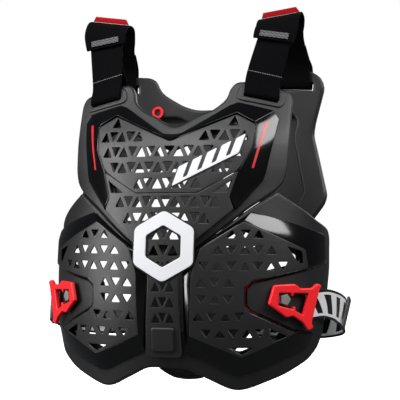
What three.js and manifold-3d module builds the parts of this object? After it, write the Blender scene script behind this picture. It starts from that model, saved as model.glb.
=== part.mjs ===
import * as THREE from 'three';
import Module from 'manifold-3d';

const wasm = await Module();
wasm.setup();

// Overall layout, in millimetres, before the move to the shoulder origin
const SHOULDER = { depth: 180, height: 278 };
const BODY = { halfWidth: 200, backRadius: 230, bow: 30 };

// Depth of the front at the middle and how far its sides sweep back, by height
const FRONT_ROWS = [
  { height: -220, depth: 46, sweep: 150 },
  { height: -170, depth: 37, sweep: 150 },
  { height: -110, depth: 31, sweep: 150 },
  { height: -40, depth: 34, sweep: 150 },
  { height: 40, depth: 46, sweep: 150 },
  { height: 75, depth: 54, sweep: 134 },
  { height: 106, depth: 64, sweep: 120 },
  { height: 150, depth: 89, sweep: 90 },
  { height: 178, depth: 103, sweep: 85 },
  { height: 215, depth: 118, sweep: 80 },
];

// Depth of the back panel's rear face by height
const BACK_ROWS = [
  { height: -230, depth: 147 },
  { height: -150, depth: 170 },
  { height: -93, depth: 190 },
  { height: 0, depth: 222 },
  { height: 100, depth: 243 },
  { height: 165, depth: 250 },
  { height: 240, depth: 258 },
];

// Thicknesses and clearances
const FOAM = { thick: 10, top: -8.6, bevel: 2.5, ring: 2 };
const SHELL = { thick: 2.4, edgeDrop: 5.4 };
const POCKET = { drop: 7.2, wall: 2.2 };
const BACK_FOAM = { thick: 10, top: -1.8, bevel: 2.5 };
const BACK_SHELL = { thick: 2.4 };
const TOLERANCE = { foam: 0.8, plate: 0.6 };
const MOST_SPLITS = 3;

// Triangular holes: base, rise and spacing from one to the next
const CHEST_HOLE = { base: 14.2, rise: 13.6, step: 13 };
const STRIP_HOLE = { base: 12, rise: 13, step: 9.6 };
const RIB_HOLE = { base: 14.2, rise: 10.6, step: 17.4 };
const BACK_HOLE = { base: 36, rise: 31, step: 30 };

const UPPER_ROWS = [
  { height: 133, first: 82, count: 1, mirrored: true, up: true },
  { height: 113.5, first: 45.5, count: 5, mirrored: true, up: true },
  { height: 92.5, first: -91, count: 15, mirrored: false, up: true },
  { height: 71.5, first: -78, count: 13, mirrored: false, up: false },
  { height: 50.5, first: -39, count: 7, mirrored: false, up: true },
];
const LOWER_ROWS = [
  { height: 26.5, first: -65, count: 11, mirrored: false, up: true },
  { height: 5.5, first: -52, count: 9, mirrored: false, up: true },
  { height: -15, first: -26, count: 5, mirrored: false, up: false },
  { height: -36, first: -13, count: 3, mirrored: false, up: true },
];
const STRIP_ROWS = [
  { height: -57, first: -9.6, count: 3, mirrored: false, up: false },
  { height: -82, first: -9.6, count: 3, mirrored: false, up: true },
  { height: -102, first: -9.6, count: 3, mirrored: false, up: true },
  { height: -122, first: -9.6, count: 3, mirrored: false, up: true },
];
const RIB_ROWS = [
  { height: -15, first: 88, count: 3, mirrored: false, up: true },
  { height: -35.5, first: 70.6, count: 5, mirrored: false, up: true },
  { height: -56, first: 53.2, count: 7, mirrored: false, up: false },
  { height: -77, first: 50, count: 3, mirrored: false, up: true },
  { height: -98, first: 50, count: 3, mirrored: false, up: false },
  { height: -120, first: 46, count: 4, mirrored: false, up: true },
  { height: -141.5, first: 56, count: 5, mirrored: false, up: false },
];
const BACK_HOLES = [
  { height: 106, first: 36, count: 3, mirrored: true, up: true },
  { height: 62, first: 36, count: 3, mirrored: true, up: false },
  { height: 18, first: 36, count: 3, mirrored: true, up: true },
  { height: -26, first: 36, count: 2, mirrored: true, up: false },
];

// Outlines as half-width and height, from the top middle round to the bottom middle
const CHEST_FOAM_EDGE = [
  { wide: 0, high: 131 }, { wide: 11, high: 135 }, { wide: 30, high: 146 }, { wide: 50, high: 154 },
  { wide: 66, high: 168 }, { wide: 69, high: 182 }, { wide: 77, high: 190.5 }, { wide: 88, high: 191.5 },
  { wide: 148, high: 179.5 }, { wide: 160, high: 175 }, { wide: 165.5, high: 166 }, { wide: 167, high: 110 },
  { wide: 166, high: 68 }, { wide: 161, high: 52 }, { wide: 149, high: 41.5 }, { wide: 111, high: 19.5 },
  { wide: 36, high: -37 }, { wide: 0, high: -44 },
];
const CHEST_OPENING = [
  { wide: 0, high: 97 }, { wide: 80, high: 132 }, { wide: 102, high: 121 }, { wide: 100, high: 96 },
  { wide: 88, high: 68 }, { wide: 78, high: 34 }, { wide: 82, high: 18 }, { wide: 36, high: -19 },
  { wide: 0, high: -25 },
];
const BELLY_FOAM_EDGE = [
  { wide: 0, high: -44.5 }, { wide: 36.3, high: -37.4 },
  { wide: 111.4, high: 19.1 }, { wide: 150.2, high: 41.2 },
  { wide: 158, high: 36 }, { wide: 222, high: 4 }, { wide: 256, high: -8 }, { wide: 265, high: -20 },
  { wide: 267, high: -62 }, { wide: 252, high: -110 }, { wide: 240, high: -146 }, { wide: 226, high: -165 },
  { wide: 204, high: -181 }, { wide: 162, high: -199 }, { wide: 110, high: -216 }, { wide: 96, high: -218.5 },
  { wide: 82, high: -216 }, { wide: 48, high: -200 }, { wide: 28, high: -190 }, { wide: 0, high: -189 },
];
const BELLY_MIDDLE = [
  { wide: 0, high: -52 }, { wide: 31, high: -52 }, { wide: 25, high: -138 }, { wide: 0, high: -138 },
];
const BELLY_SIDE = [
  { wide: 101, high: -8 }, { wide: 176, high: -38 }, { wide: 188, high: -42 }, { wide: 188, high: -52 },
  { wide: 112, high: -66 }, { wide: 98, high: -79 }, { wide: 98, high: -110 }, { wide: 106, high: -121 },
  { wide: 160, high: -145 }, { wide: 100, high: -168 }, { wide: 42, high: -144 }, { wide: 44, high: -64 },
  { wide: 54, high: -38 },
];
const SLOT = [
  { wide: 86, high: 171 }, { wide: 143.5, high: 160 }, { wide: 145, high: 168.5 },
  { wide: 87.6, high: 179 },
];
const SLOT_RING = [
  { wide: 79, high: 169.5 }, { wide: 84, high: 165 }, { wide: 144.5, high: 153.5 },
  { wide: 151, high: 158 }, { wide: 152.5, high: 168 }, { wide: 148, high: 175 },
  { wide: 89, high: 186 }, { wide: 81, high: 181.5 },
];
// The gloss band between the foam's rim and the pierced plates, outer edge matched to inner edge
const CHEST_BAND = [
  { outWide: 0, outHigh: 116, inWide: 0, inHigh: 106.2 },
  { outWide: 13, outHigh: 117, inWide: 11, inHigh: 111 },
  { outWide: 73, outHigh: 155, inWide: 76, inHigh: 138.7 },
  { outWide: 84, outHigh: 159, inWide: 84, inHigh: 142.2 },
  { outWide: 137, outHigh: 147, inWide: 109.6, inHigh: 129.4 },
  { outWide: 145, outHigh: 137, inWide: 112.7, inHigh: 127.8 },
  { outWide: 140, outHigh: 106, inWide: 109.7, inHigh: 96 },
  { outWide: 132, outHigh: 66, inWide: 94, inHigh: 67 },
  { outWide: 128, outHigh: 54, inWide: 83.2, inHigh: 32.4 },
  { outWide: 93.5, outHigh: 16.5, inWide: 91, inHigh: 19 },
];
const UPPER_PLATE = [
  { wide: 0, high: 105.4 }, { wide: 84, high: 141.4 }, { wide: 112, high: 127.4 }, { wide: 109, high: 96 },
  { wide: 95, high: 71 }, { wide: 89, high: 65 }, { wide: 41.6, high: 38 }, { wide: 0, high: 38 },
];
const STERNUM_PLATE = [
  { wide: 0, high: 37.3 }, { wide: 42, high: 37.3 },
  { wide: 89.6, high: 64.4 }, { wide: 92.8, high: 64.6 },
  { wide: 82.6, high: 32.4 }, { wide: 88.8, high: 16.5 }, { wide: 33.5, high: -29 },
  { wide: 20.7, high: -40 },
  { wide: 20.7, high: -80 }, { wide: 24.4, high: -168 }, { wide: 21, high: -173 },
  { wide: 0, high: -173 },
];
const SIDE_HOLE = [{ wide: 86, high: 54.5 }, { wide: 80.5, high: 38.5 }, { wide: 61, high: 38.5 }];
const PLINTH = { halfWidth: 15, low: -165, high: -134, rise: 3 };

// The rib shell: its outer edge matched to the edge of its raised face
const RIB_BAND = [
  { outWide: 114, outHigh: 14.5, inWide: 102.5, inHigh: 1 },
  { outWide: 238, outHigh: -17, inWide: 192, inHigh: -36 },
  { outWide: 243, outHigh: -60, inWide: 197, inHigh: -60 },
  { outWide: 214, outHigh: -143, inWide: 176, inHigh: -143 },
  { outWide: 197, outHigh: -165, inWide: 160, inHigh: -149 },
  { outWide: 100, outHigh: -195.5, inWide: 100.5, inHigh: -173 },
  { outWide: 88, outHigh: -193, inWide: 88, inHigh: -168 },
  { outWide: 27.5, outHigh: -165.5, inWide: 34, inHigh: -145 },
  { outWide: 25, outHigh: -80, inWide: 37, inHigh: -66 },
  { outWide: 25.5, outHigh: -48, inWide: 48, inHigh: -34 },
  { outWide: 37.5, outHigh: -34.8, inWide: 52, inHigh: -31 },
];
const POCKET_EDGE = [
  { wide: 260, high: -50 }, { wide: 194, high: -59.5 }, { wide: 115, high: -74 }, { wide: 105, high: -82.5 },
  { wide: 105, high: -107 }, { wide: 112, high: -115.5 }, { wide: 175, high: -142.5 },
  { wide: 250, high: -152 },
];
const POCKET_FLOOR = [
  { wide: 232, high: -54 }, { wide: 194, high: -58.5 }, { wide: 114, high: -73 }, { wide: 104, high: -82 },
  { wide: 104, high: -107.5 }, { wide: 111.5, high: -116.5 }, { wide: 175, high: -143.5 },
  { wide: 212, high: -146 },
];
const RIB_CORNER_HOLE = [
  { wide: 163, high: -31 }, { wide: 186, high: -38 }, { wide: 188, high: -54 }, { wide: 180, high: -52 },
];
const RIB_LOW_HOLE = [{ wide: 137, high: -135 }, { wide: 163, high: -146.5 }, { wide: 142, high: -153 }];
const RIB_TIP_HOLE = [{ wide: 84, high: -160 }, { wide: 117, high: -160 }, { wide: 100.5, high: -169 }];

const BACK_EDGE = [
  { wide: 0, high: 160.5 }, { wide: 15, high: 161 }, { wide: 33, high: 166.5 }, { wide: 55, high: 179 },
  { wide: 68, high: 188 }, { wide: 77, high: 206 }, { wide: 87, high: 210.5 }, { wide: 150, high: 214 },
  { wide: 169, high: 203 }, { wide: 175, high: 188 }, { wide: 162, high: 137 }, { wide: 160, high: 121 },
  { wide: 182, high: 36 }, { wide: 179, high: 24 }, { wide: 164, high: 3 }, { wide: 104, high: -60 },
  { wide: 92, high: -90 }, { wide: 86, high: -150 }, { wide: 40, high: -204 }, { wide: 20, high: -214 },
  { wide: 0, high: -216 },
];
const BACK_SHELL_EDGE = [
  { wide: 0, high: 145 }, { wide: 26, high: 147 }, { wide: 62, high: 166 }, { wide: 146, high: 168 },
  { wide: 154, high: 158 }, { wide: 146, high: 122 }, { wide: 166, high: 40 }, { wide: 160, high: 20 },
  { wide: 94, high: -52 }, { wide: 78, high: -90 }, { wide: 73, high: -146 }, { wide: 34, high: -192 },
  { wide: 0, high: -198 },
];
const BACK_OPENING = [
  { wide: 9, high: 133 }, { wide: 40, high: 150 }, { wide: 130, high: 150 }, { wide: 136, high: 140 },
  { wide: 130, high: 118 }, { wide: 148, high: 40 }, { wide: 142, high: 28 }, { wide: 82, high: -38 },
  { wide: 9, high: -38 },
];
const BACK_SLOT = [
  { wide: 103, high: 188 }, { wide: 158, high: 184 }, { wide: 158.6, high: 193 }, { wide: 103.6, high: 197 },
];
const SPINE = { halfWidth: 15, high: 120, low: -176, rise: 5 };

// Straps
const WEB = { wide: 47, thick: 2.2, gap: 0.6, bow: 1.8 };
const CROWN = { depth: 181, height: 252, radius: 29.6, lean: 24, halfWide: 123, saddleWide: 60, gap: 2.7 };
const TAB = { wide: 54, rise: 7, thick: 1.6, gap: 0.9 };
const PATCH = { wide: 40, high: 9, thick: 0.8, gap: 1.2 };

// Buckle, flat in its own plane: distance back along the strap and height
const BUCKLE = { wide: 165, high: -100, lift: 2.6, thick: 6 };
const BUCKLE_EDGE = [
  { along: -30, up: -4 }, { along: -22, up: 20 }, { along: 9, up: 21 }, { along: 16, up: 15 },
  { along: 34, up: 15 }, { along: 41, up: 21 }, { along: 48, up: 18 }, { along: 44, up: 10 },
  { along: 33, up: -30 }, { along: 36, up: -36 }, { along: 28, up: -40 }, { along: 20, up: -29 },
  { along: 5, up: -20 }, { along: -4, up: -22 },
];
const BUCKLE_WINDOW = [
  { along: -15, up: 10 }, { along: 28, up: 8 }, { along: 20, up: -19 }, { along: 6, up: -12 },
  { along: -16, up: -6 },
];
const STUD = { sides: 5, radius: 8, rise: 7.4, along: -5, up: 1 };
const SIDE_STRAP = { wide: 38, thick: 2.4 };
// The strap's way from the buckle's bar to the back panel: how far along it is, how far it stands
// outside the straight line as a share of the body's half-width, and behind and above that line
const STRAP_END = { wide: 83, high: -137, gap: 1.8 };
const STRAP_ROWS = [
  { share: 0.13, out: 0.152, back: 16.1, up: 6.2, fall: 6 },
  { share: 0.22, out: 0.237, back: 28.1, up: 5.2, fall: 8 },
  { share: 0.3, out: 0.297, back: 39.7, up: 2.5, fall: 10 },
  { share: 0.36, out: 0.3365, back: 49.7, up: -2.8, fall: 13 },
  { share: 0.43, out: 0.355, back: 58.9, up: -8.8, fall: 14 },
  { share: 0.5, out: 0.3335, back: 65.2, up: -13.8, fall: 11 },
  { share: 0.6, out: 0.2575, back: 61.5, up: -15, fall: 6 },
  { share: 0.76, out: 0.1535, back: 35.7, up: -9.4, fall: 0 },
  { share: 0.91, out: 0.065, back: 10, up: -3.2, fall: -14 },
  { share: 1, out: 0, back: 0, up: 0.4, fall: -17 },
];
const BAR = { along: 29, up: -9, slant: 0.16, gap: 0.6 };
const SLIDER = { long: 46, wide: 15, thick: 3.4, slotWide: 4.4, slotLong: 40.5, gap: 1.8 };
const EMBLEM = { high: -31, outer: 46, inner: 27, low: 0.7, thick: 2.2 };
const FLASH = {
  wide: 8, high: 46, low: 0.7, thick: 1.4, slope: 27, bars: 5, barWide: 12, barHigh: 25, step: 18, foot: 4.5,
};
const RING = { wide: 72, high: 158, outer: 8.6, inner: 4.8, thick: 1.6, gap: 0.9 };

// A value read from rows sorted by height, blended smoothly between them
function between(rows, key, height) {
  let i = 0;
  while (i < rows.length - 2 && height > rows[i + 1].height) {
    i += 1;
  }
  const low = rows[i];
  const high = rows[i + 1];
  const slope = (a, b) => (rows[b][key] - rows[a][key]) / (rows[b].height - rows[a].height);
  const here = slope(i, i + 1);
  const before = i > 0 ? (slope(i - 1, i) + here) / 2 : here;
  const after = i < rows.length - 2 ? (slope(i + 1, i + 2) + here) / 2 : here;
  const span = high.height - low.height;
  const t = Math.min(Math.max((height - low.height) / span, 0), 1);
  const h10 = t * (1 - t) * (1 - t);
  const h11 = t * t * (t - 1);
  const h01 = t * t * (3 - 2 * t);
  return low[key] * (1 - h01) + high[key] * h01 + span * (h10 * before + h11 * after);
}

// Turn round the body for a length measured along the front's curve
function turnFor(length) {
  const steps = 90;
  let walked = 0;
  for (let k = 0; k < steps; k += 1) {
    const turn = ((k + 0.5) / steps) * (Math.PI / 2);
    const stride = Math.hypot(BODY.halfWidth * Math.cos(turn), FRONT_ROWS[0].sweep * Math.sin(turn));
    const advance = (stride * Math.PI) / 2 / steps;
    if (walked + advance >= length) {
      return ((k + (length - walked) / advance) / steps) * (Math.PI / 2);
    }
    walked += advance;
  }
  return Math.PI / 2;
}

function frontBase(wide, high) {
  const turn = turnFor(Math.abs(wide)) * Math.sign(wide);
  const depth = between(FRONT_ROWS, 'depth', high);
  const sweep = between(FRONT_ROWS, 'sweep', high);
  return new THREE.Vector3(BODY.halfWidth * Math.sin(turn), depth + sweep * (1 - Math.cos(turn)), high);
}

function backBase(wide, high) {
  const turn = Math.asin(Math.min(Math.max(wide / BODY.backRadius, -0.99), 0.99));
  return new THREE.Vector3(wide, between(BACK_ROWS, 'depth', high) - BODY.bow * (1 - Math.cos(turn)), high);
}

// A point on a body surface, raised along its outward direction
function lifted(base, wide, high, rise, facing) {
  const probe = 0.5;
  const across = base(wide + probe, high).sub(base(wide - probe, high));
  const up = base(wide, high + probe).sub(base(wide, high - probe));
  const out = across.cross(up).normalize().multiplyScalar(facing * rise);
  return base(wide, high).add(out);
}

const onFront = (wide, high, rise) => lifted(frontBase, wide, high, rise, 1);
const onBack = (wide, high, rise) => lifted(backBase, wide, high, rise, -1);

// Outline points for a whole symmetric panel, or for one side of it
function mirrored(half) {
  const right = half.map((p) => [p.wide, p.high]);
  const left = half.filter((p) => p.wide > 0).map((p) => [-p.wide, p.high]).reverse();
  return right.concat(left);
}

function oneSide(points, side) {
  const turned = points.map((p) => [p.wide * side, p.high]);
  return side > 0 ? turned : turned.reverse();
}

// Triangular holes of one panel from its rows
function triangles(rows, hole, side = 1) {
  const found = [];
  for (const row of rows) {
    for (let k = 0; k < row.count; k += 1) {
      const middle = row.first + k * hole.step;
      const up = (k % 2 === 0) === row.up ? 1 : -1;
      const sides = row.mirrored ? [1, -1] : [side];
      for (const s of sides) {
        const foot = row.height - (up * hole.rise) / 2;
        found.push([
          [s * (middle - hole.base / 2), foot],
          [s * (middle + hole.base / 2), foot],
          [s * middle, foot + up * hole.rise],
        ]);
      }
    }
  }
  return found;
}

function shapeOf(points, holes = []) {
  const outline = points.map((p) => new THREE.Vector2(p[0], p[1]));
  if (THREE.ShapeUtils.isClockWise(outline)) {
    outline.reverse();
  }
  const shape = new THREE.Shape(outline);
  for (const hole of holes) {
    shape.holes.push(new THREE.Path(hole.map((p) => new THREE.Vector2(p[0], p[1]))));
  }
  return shape;
}

function plate(points, low, high, bevel = 0, holes = []) {
  const geometry = new THREE.ExtrudeGeometry(shapeOf(points, holes), {
    depth: high - low - 2 * bevel,
    bevelEnabled: bevel > 0,
    bevelThickness: bevel,
    bevelSize: bevel,
    bevelOffset: -bevel,
    bevelSegments: 1,
  });
  geometry.translate(0, 0, low + bevel);
  return geometry;
}

// Corner points joined where they coincide, and the triangles between them
function welded(geometry) {
  const place = geometry.attributes.position;
  const known = new Map();
  const points = [];
  const faces = [];
  const order = [];
  for (let i = 0; i < place.count; i += 1) {
    const p = [place.getX(i), place.getY(i), place.getZ(i)];
    const key = p.map((v) => Math.round(v * 1e4)).join(' ');
    if (!known.has(key)) {
      known.set(key, points.length);
      points.push(p);
    }
    order.push(known.get(key));
  }
  const index = geometry.index ? Array.from(geometry.index.array) : order.map((_, i) => i);
  for (let i = 0; i < index.length; i += 3) {
    const face = [order[index[i]], order[index[i + 1]], order[index[i + 2]]];
    if (face[0] !== face[1] && face[1] !== face[2] && face[0] !== face[2]) {
      faces.push(face);
    }
  }
  return { points, faces };
}

function solid(...geometries) {
  const points = [];
  const faces = [];
  for (const geometry of geometries) {
    const part = welded(geometry);
    const start = points.length;
    points.push(...part.points);
    faces.push(...part.faces.map((face) => face.map((i) => i + start)));
  }
  const mesh = new wasm.Mesh({
    numProp: 3,
    vertProperties: new Float32Array(points.flat()),
    triVerts: new Uint32Array(faces.flat()),
  });
  return new wasm.Manifold(mesh);
}

// A body with holes cut straight through it
function pierced(body, holes) {
  return body.subtract(solid(...holes.map((hole) => plate(hole, -30, 30))));
}

function meshOf(body) {
  const mesh = body.getMesh();
  const points = [];
  const faces = [];
  for (let i = 0; i < mesh.vertProperties.length; i += mesh.numProp) {
    points.push(Array.from(mesh.vertProperties.slice(i, i + 3)));
  }
  for (let i = 0; i < mesh.triVerts.length; i += 3) {
    faces.push(Array.from(mesh.triVerts.slice(i, i + 3)));
  }
  return { points, faces };
}

// Split the edges that would stand off the curved surface by more than the tolerance
function refined(mesh, place, tolerance) {
  const points = mesh.points.slice();
  const moved = points.map((p) => place(p[0], p[1], p[2]));
  let { faces } = mesh;
  for (let round = 0; round < MOST_SPLITS; round += 1) {
    const middles = new Map();
    const middle = (a, b) => {
      const key = a < b ? `${a} ${b}` : `${b} ${a}`;
      if (!middles.has(key)) {
        const half = points[a].map((v, i) => (v + points[b][i]) / 2);
        const target = place(half[0], half[1], half[2]);
        const flat = moved[a].clone().add(moved[b]).multiplyScalar(0.5);
        let index = -1;
        if (target.distanceTo(flat) > tolerance) {
          index = points.length;
          points.push(half);
          moved.push(target);
        }
        middles.set(key, index);
      }
      return middles.get(key);
    };
    const next = [];
    for (const [a, b, c] of faces) {
      const found = [[a, b, c, middle(a, b)], [b, c, a, middle(b, c)], [c, a, b, middle(c, a)]];
      const cut = found.filter((edge) => edge[3] >= 0);
      if (cut.length === 0) {
        next.push([a, b, c]);
      } else if (cut.length === 1) {
        const [p, q, r, m] = cut[0];
        next.push([p, m, r], [m, q, r]);
      } else if (cut.length === 2) {
        const whole = found.findIndex((edge) => edge[3] < 0);
        const [p, q, r] = found[whole];
        const qr = found[(whole + 1) % 3][3];
        const rp = found[(whole + 2) % 3][3];
        next.push([r, rp, qr], [p, q, qr], [p, qr, rp]);
      } else {
        const [ab, bc, ca] = found.map((edge) => edge[3]);
        next.push([a, ab, ca], [ab, b, bc], [ca, bc, c], [ab, bc, ca]);
      }
    }
    faces = next;
  }
  return { points, faces };
}

function toGeometry(mesh, place) {
  const moved = mesh.points.map((p) => place(p[0], p[1], p[2]));
  const flat = [];
  for (const face of mesh.faces) {
    for (const i of face) {
      flat.push(moved[i].x, moved[i].y - SHOULDER.depth, moved[i].z - SHOULDER.height);
    }
  }
  const geometry = new THREE.BufferGeometry();
  geometry.setAttribute('position', new THREE.Float32BufferAttribute(flat, 3));
  geometry.computeVertexNormals();
  return geometry;
}

// Lay a flat panel onto the front or the back of the body
const laid = (mesh, place, tolerance) => toGeometry(refined(mesh, place, tolerance), place);
const frontFoam = (mesh) => laid(mesh, onFront, TOLERANCE.foam);
const frontPanel = (mesh) => laid(mesh, onFront, TOLERANCE.plate);
const backPanel = (mesh) => laid(mesh, (x, y, z) => onBack(-x, y, z), TOLERANCE.foam);

// A thin sloped band between matched outer and inner edges, closed into a loop or left open
function band(rows, side, closed) {
  const lowAt = -SHELL.thick - SHELL.edgeDrop;
  const highAt = -SHELL.thick;
  const rings = rows.map((row) => {
    const out = [row.outWide * side, row.outHigh];
    const inn = [row.inWide * side, row.inHigh];
    return [
      [...out, lowAt], [...inn, highAt], [...inn, highAt + SHELL.thick], [...out, lowAt + SHELL.thick],
    ];
  });
  const flat = [];
  const quad = (a, b, c, d) => flat.push(...a, ...b, ...c, ...a, ...c, ...d);
  const count = closed ? rings.length : rings.length - 1;
  for (let i = 0; i < count; i += 1) {
    const here = rings[i];
    const next = rings[(i + 1) % rings.length];
    for (let k = 0; k < 4; k += 1) {
      const m = (k + 1) % 4;
      if (side > 0) {
        quad(here[k], next[k], next[m], here[m]);
      } else {
        quad(here[k], here[m], next[m], next[k]);
      }
    }
  }
  if (!closed) {
    const first = rings[0];
    const last = rings[rings.length - 1];
    quad(first[0], first[1], first[2], first[3]);
    quad(last[3], last[2], last[1], last[0]);
  }
  const geometry = new THREE.BufferGeometry();
  geometry.setAttribute('position', new THREE.Float32BufferAttribute(flat, 3));
  return geometry;
}

// A flat strap swept through sections, each with a middle, a width direction and a width
function ribbon(sections, thick) {
  const count = sections.length;
  const corners = sections.map((section, i) => {
    const before = sections[Math.max(i - 1, 0)].middle;
    const after = sections[Math.min(i + 1, count - 1)].middle;
    const along = after.clone().sub(before).normalize();
    const across = section.across.clone();
    across.sub(along.clone().multiplyScalar(across.dot(along))).normalize();
    const out = across.clone().cross(along).normalize().multiplyScalar(thick / 2);
    across.multiplyScalar(section.wide / 2);
    const corner = (s, t) => section.middle.clone().addScaledVector(across, s).addScaledVector(out, t);
    return [corner(-1, -1), corner(1, -1), corner(1, 1), corner(-1, 1)];
  });
  const points = corners.flat().map((p) => [p.x, p.y, p.z]);
  const faces = [[0, 1, 2], [0, 2, 3]];
  for (let i = 0; i < count - 1; i += 1) {
    for (let k = 0; k < 4; k += 1) {
      const a = i * 4 + k;
      const b = i * 4 + ((k + 1) % 4);
      if (k === 2) {
        faces.push([a, a + 4, b], [b, a + 4, b + 4]);
      } else {
        faces.push([a, b + 4, b], [a, a + 4, b + 4]);
      }
    }
  }
  const end = (count - 1) * 4;
  faces.push([end, end + 2, end + 1], [end, end + 3, end + 2]);
  return toGeometry({ points, faces }, (x, y, z) => new THREE.Vector3(x, y, z));
}

// Front: foam, gloss band, pierced plates
const foamLow = FOAM.top - FOAM.thick;
const ears = [1, -1];

function chestFoam() {
  const opening = mirrored(CHEST_OPENING);
  let body = solid(plate(mirrored(CHEST_FOAM_EDGE), foamLow, FOAM.top, FOAM.bevel));
  for (const side of ears) {
    body = body.add(solid(plate(oneSide(SLOT_RING, side), FOAM.top - 3, FOAM.top + FOAM.ring, 1)));
  }
  return frontFoam(meshOf(pierced(body, [opening, ...ears.map((side) => oneSide(SLOT, side))])));
}

function bellyFoam() {
  const holes = [mirrored(BELLY_MIDDLE), oneSide(BELLY_SIDE, 1), oneSide(BELLY_SIDE, -1)];
  const body = solid(plate(mirrored(BELLY_FOAM_EDGE), foamLow, FOAM.top, FOAM.bevel));
  return frontFoam(meshOf(pierced(body, holes)));
}

function chestShell() {
  const right = CHEST_BAND;
  const left = CHEST_BAND.slice(1).reverse();
  const rows = [
    ...left.map((r) => ({ ...r, outWide: -r.outWide, inWide: -r.inWide })),
    ...right,
  ];
  return frontPanel(welded(band(rows, 1, false)));
}

function upperPlate() {
  const base = solid(plate(mirrored(UPPER_PLATE), -SHELL.thick, 0));
  return frontPanel(meshOf(pierced(base, triangles(UPPER_ROWS, CHEST_HOLE))));
}

function sternumPlate() {
  const holes = triangles(LOWER_ROWS, CHEST_HOLE).concat(triangles(STRIP_ROWS, STRIP_HOLE));
  for (const side of ears) {
    holes.push(oneSide(SIDE_HOLE, side));
  }
  const base = pierced(solid(plate(mirrored(STERNUM_PLATE), -SHELL.thick, 0)), holes);
  const block = [
    { wide: PLINTH.halfWidth, high: PLINTH.high },
    { wide: PLINTH.halfWidth, high: PLINTH.low },
  ];
  return frontPanel(meshOf(base.add(solid(plate(mirrored(block), -1, PLINTH.rise, 1.4)))));
}

function ribShell(side) {
  const lowAt = -SHELL.thick - SHELL.edgeDrop;
  const face = RIB_BAND.map((row) => ({ wide: row.inWide, high: row.inHigh }));
  const middle = { wide: 110, high: -90 };
  const inset = (points, by) => points.map((p) => {
    const away = Math.hypot(p.wide - middle.wide, p.high - middle.high);
    const keep = 1 - by / away;
    return {
      wide: middle.wide + (p.wide - middle.wide) * keep,
      high: middle.high + (p.high - middle.high) * keep,
    };
  });
  const wallEdge = POCKET_EDGE.map((p) => ({
    wide: p.wide < 125 ? p.wide - POCKET.wall : p.wide,
    high: p.high > -90 ? p.high + POCKET.wall : p.high - POCKET.wall,
  }));
  const block = solid(plate(oneSide(face, side), lowAt, 0));
  const hollow = solid(plate(oneSide(inset(face, 2.5), side), lowAt - 2, -SHELL.thick))
    .subtract(solid(plate(oneSide(wallEdge, side), lowAt - 4, 2)));
  const pocket = solid(plate(oneSide(POCKET_EDGE, side), -POCKET.drop + SHELL.thick, 12));
  const base = solid(plate(oneSide(POCKET_FLOOR, side), -POCKET.drop - 0.4, -POCKET.drop + SHELL.thick));
  const body = solid(band(RIB_BAND, side, true)).add(block).subtract(hollow).subtract(pocket).add(base);
  const holes = triangles(RIB_ROWS, RIB_HOLE, side);
  for (const hole of [RIB_CORNER_HOLE, RIB_LOW_HOLE, RIB_TIP_HOLE]) {
    holes.push(oneSide(hole, side));
  }
  return frontPanel(meshOf(pierced(body, holes)));
}

// Back: padded rim and pierced shell with a raised spine
function backFoam() {
  const holes = [oneSide(BACK_OPENING, 1), oneSide(BACK_OPENING, -1)];
  for (const side of ears) {
    holes.push(oneSide(BACK_SLOT, side));
  }
  const low = BACK_FOAM.top - BACK_FOAM.thick;
  const body = solid(plate(mirrored(BACK_EDGE), low, BACK_FOAM.top, BACK_FOAM.bevel));
  return backPanel(meshOf(pierced(body, holes)));
}

function backShell() {
  const base = pierced(
    solid(plate(mirrored(BACK_SHELL_EDGE), 0, BACK_SHELL.thick)),
    triangles(BACK_HOLES, BACK_HOLE),
  );
  const ridge = [
    { wide: SPINE.halfWidth, high: SPINE.high },
    { wide: SPINE.halfWidth, high: SPINE.low },
  ];
  const spine = solid(plate(mirrored(ridge), 1, BACK_SHELL.thick + SPINE.rise, 3));
  return backPanel(meshOf(base.add(spine)));
}

// Shoulder straps
function crownPoint(side, radius, degrees) {
  const turn = THREE.MathUtils.degToRad(degrees);
  return new THREE.Vector3(
    side * CROWN.halfWide,
    CROWN.depth - radius * Math.cos(turn),
    CROWN.height + radius * Math.sin(turn),
  );
}

function acrossAt(side, azimuth, droop) {
  const turn = THREE.MathUtils.degToRad(azimuth);
  const fall = THREE.MathUtils.degToRad(droop);
  return new THREE.Vector3(Math.cos(turn), side * Math.sin(turn), side * Math.sin(fall)).normalize();
}

function frontWeb(side) {
  const bar = { wide: 115 * side, low: 168.5, high: 188 };
  const atFront = FOAM.top + FOAM.ring + WEB.thick / 2 + WEB.gap;
  const atBack = foamLow - WEB.thick / 2 - WEB.gap - WEB.bow;
  const tilt = acrossAt(side, 12, -12);
  const row = (middle, across = tilt) => ({ middle, across, wide: WEB.wide });
  const onEar = (high, rise) => row(onFront(bar.wide, high, rise));
  const radius = CROWN.radius - WEB.thick - CROWN.gap;
  const top = crownPoint(side, radius, CROWN.lean);
  const ear = onFront(bar.wide, bar.high + 4, atFront);
  const leg = (share, rise) => {
    const spot = ear.clone().lerp(top, share);
    spot.y += rise;
    return row(spot, acrossAt(side, 12 - 12 * share, -12 + 20 * share));
  };
  const rows = [
    leg(0.36, WEB.thick + 1.4),
    leg(0.2, 7),
    onEar(bar.high + 2, atBack),
    onEar(bar.low + 2.5, atBack),
    onEar(bar.low, atBack + 2.4),
    onEar(bar.low, atFront - 2.4),
    onEar(bar.low + 2.5, atFront),
    onEar(bar.high, atFront),
    leg(0.2, 0),
    leg(0.5, 0),
    leg(0.8, 0),
  ];
  for (const degrees of [CROWN.lean, 38, 52, 66, 80, 94, 108]) {
    rows.push(row(crownPoint(side, radius, degrees), acrossAt(side, 0, 8)));
  }
  return ribbon(rows, WEB.thick);
}

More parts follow.
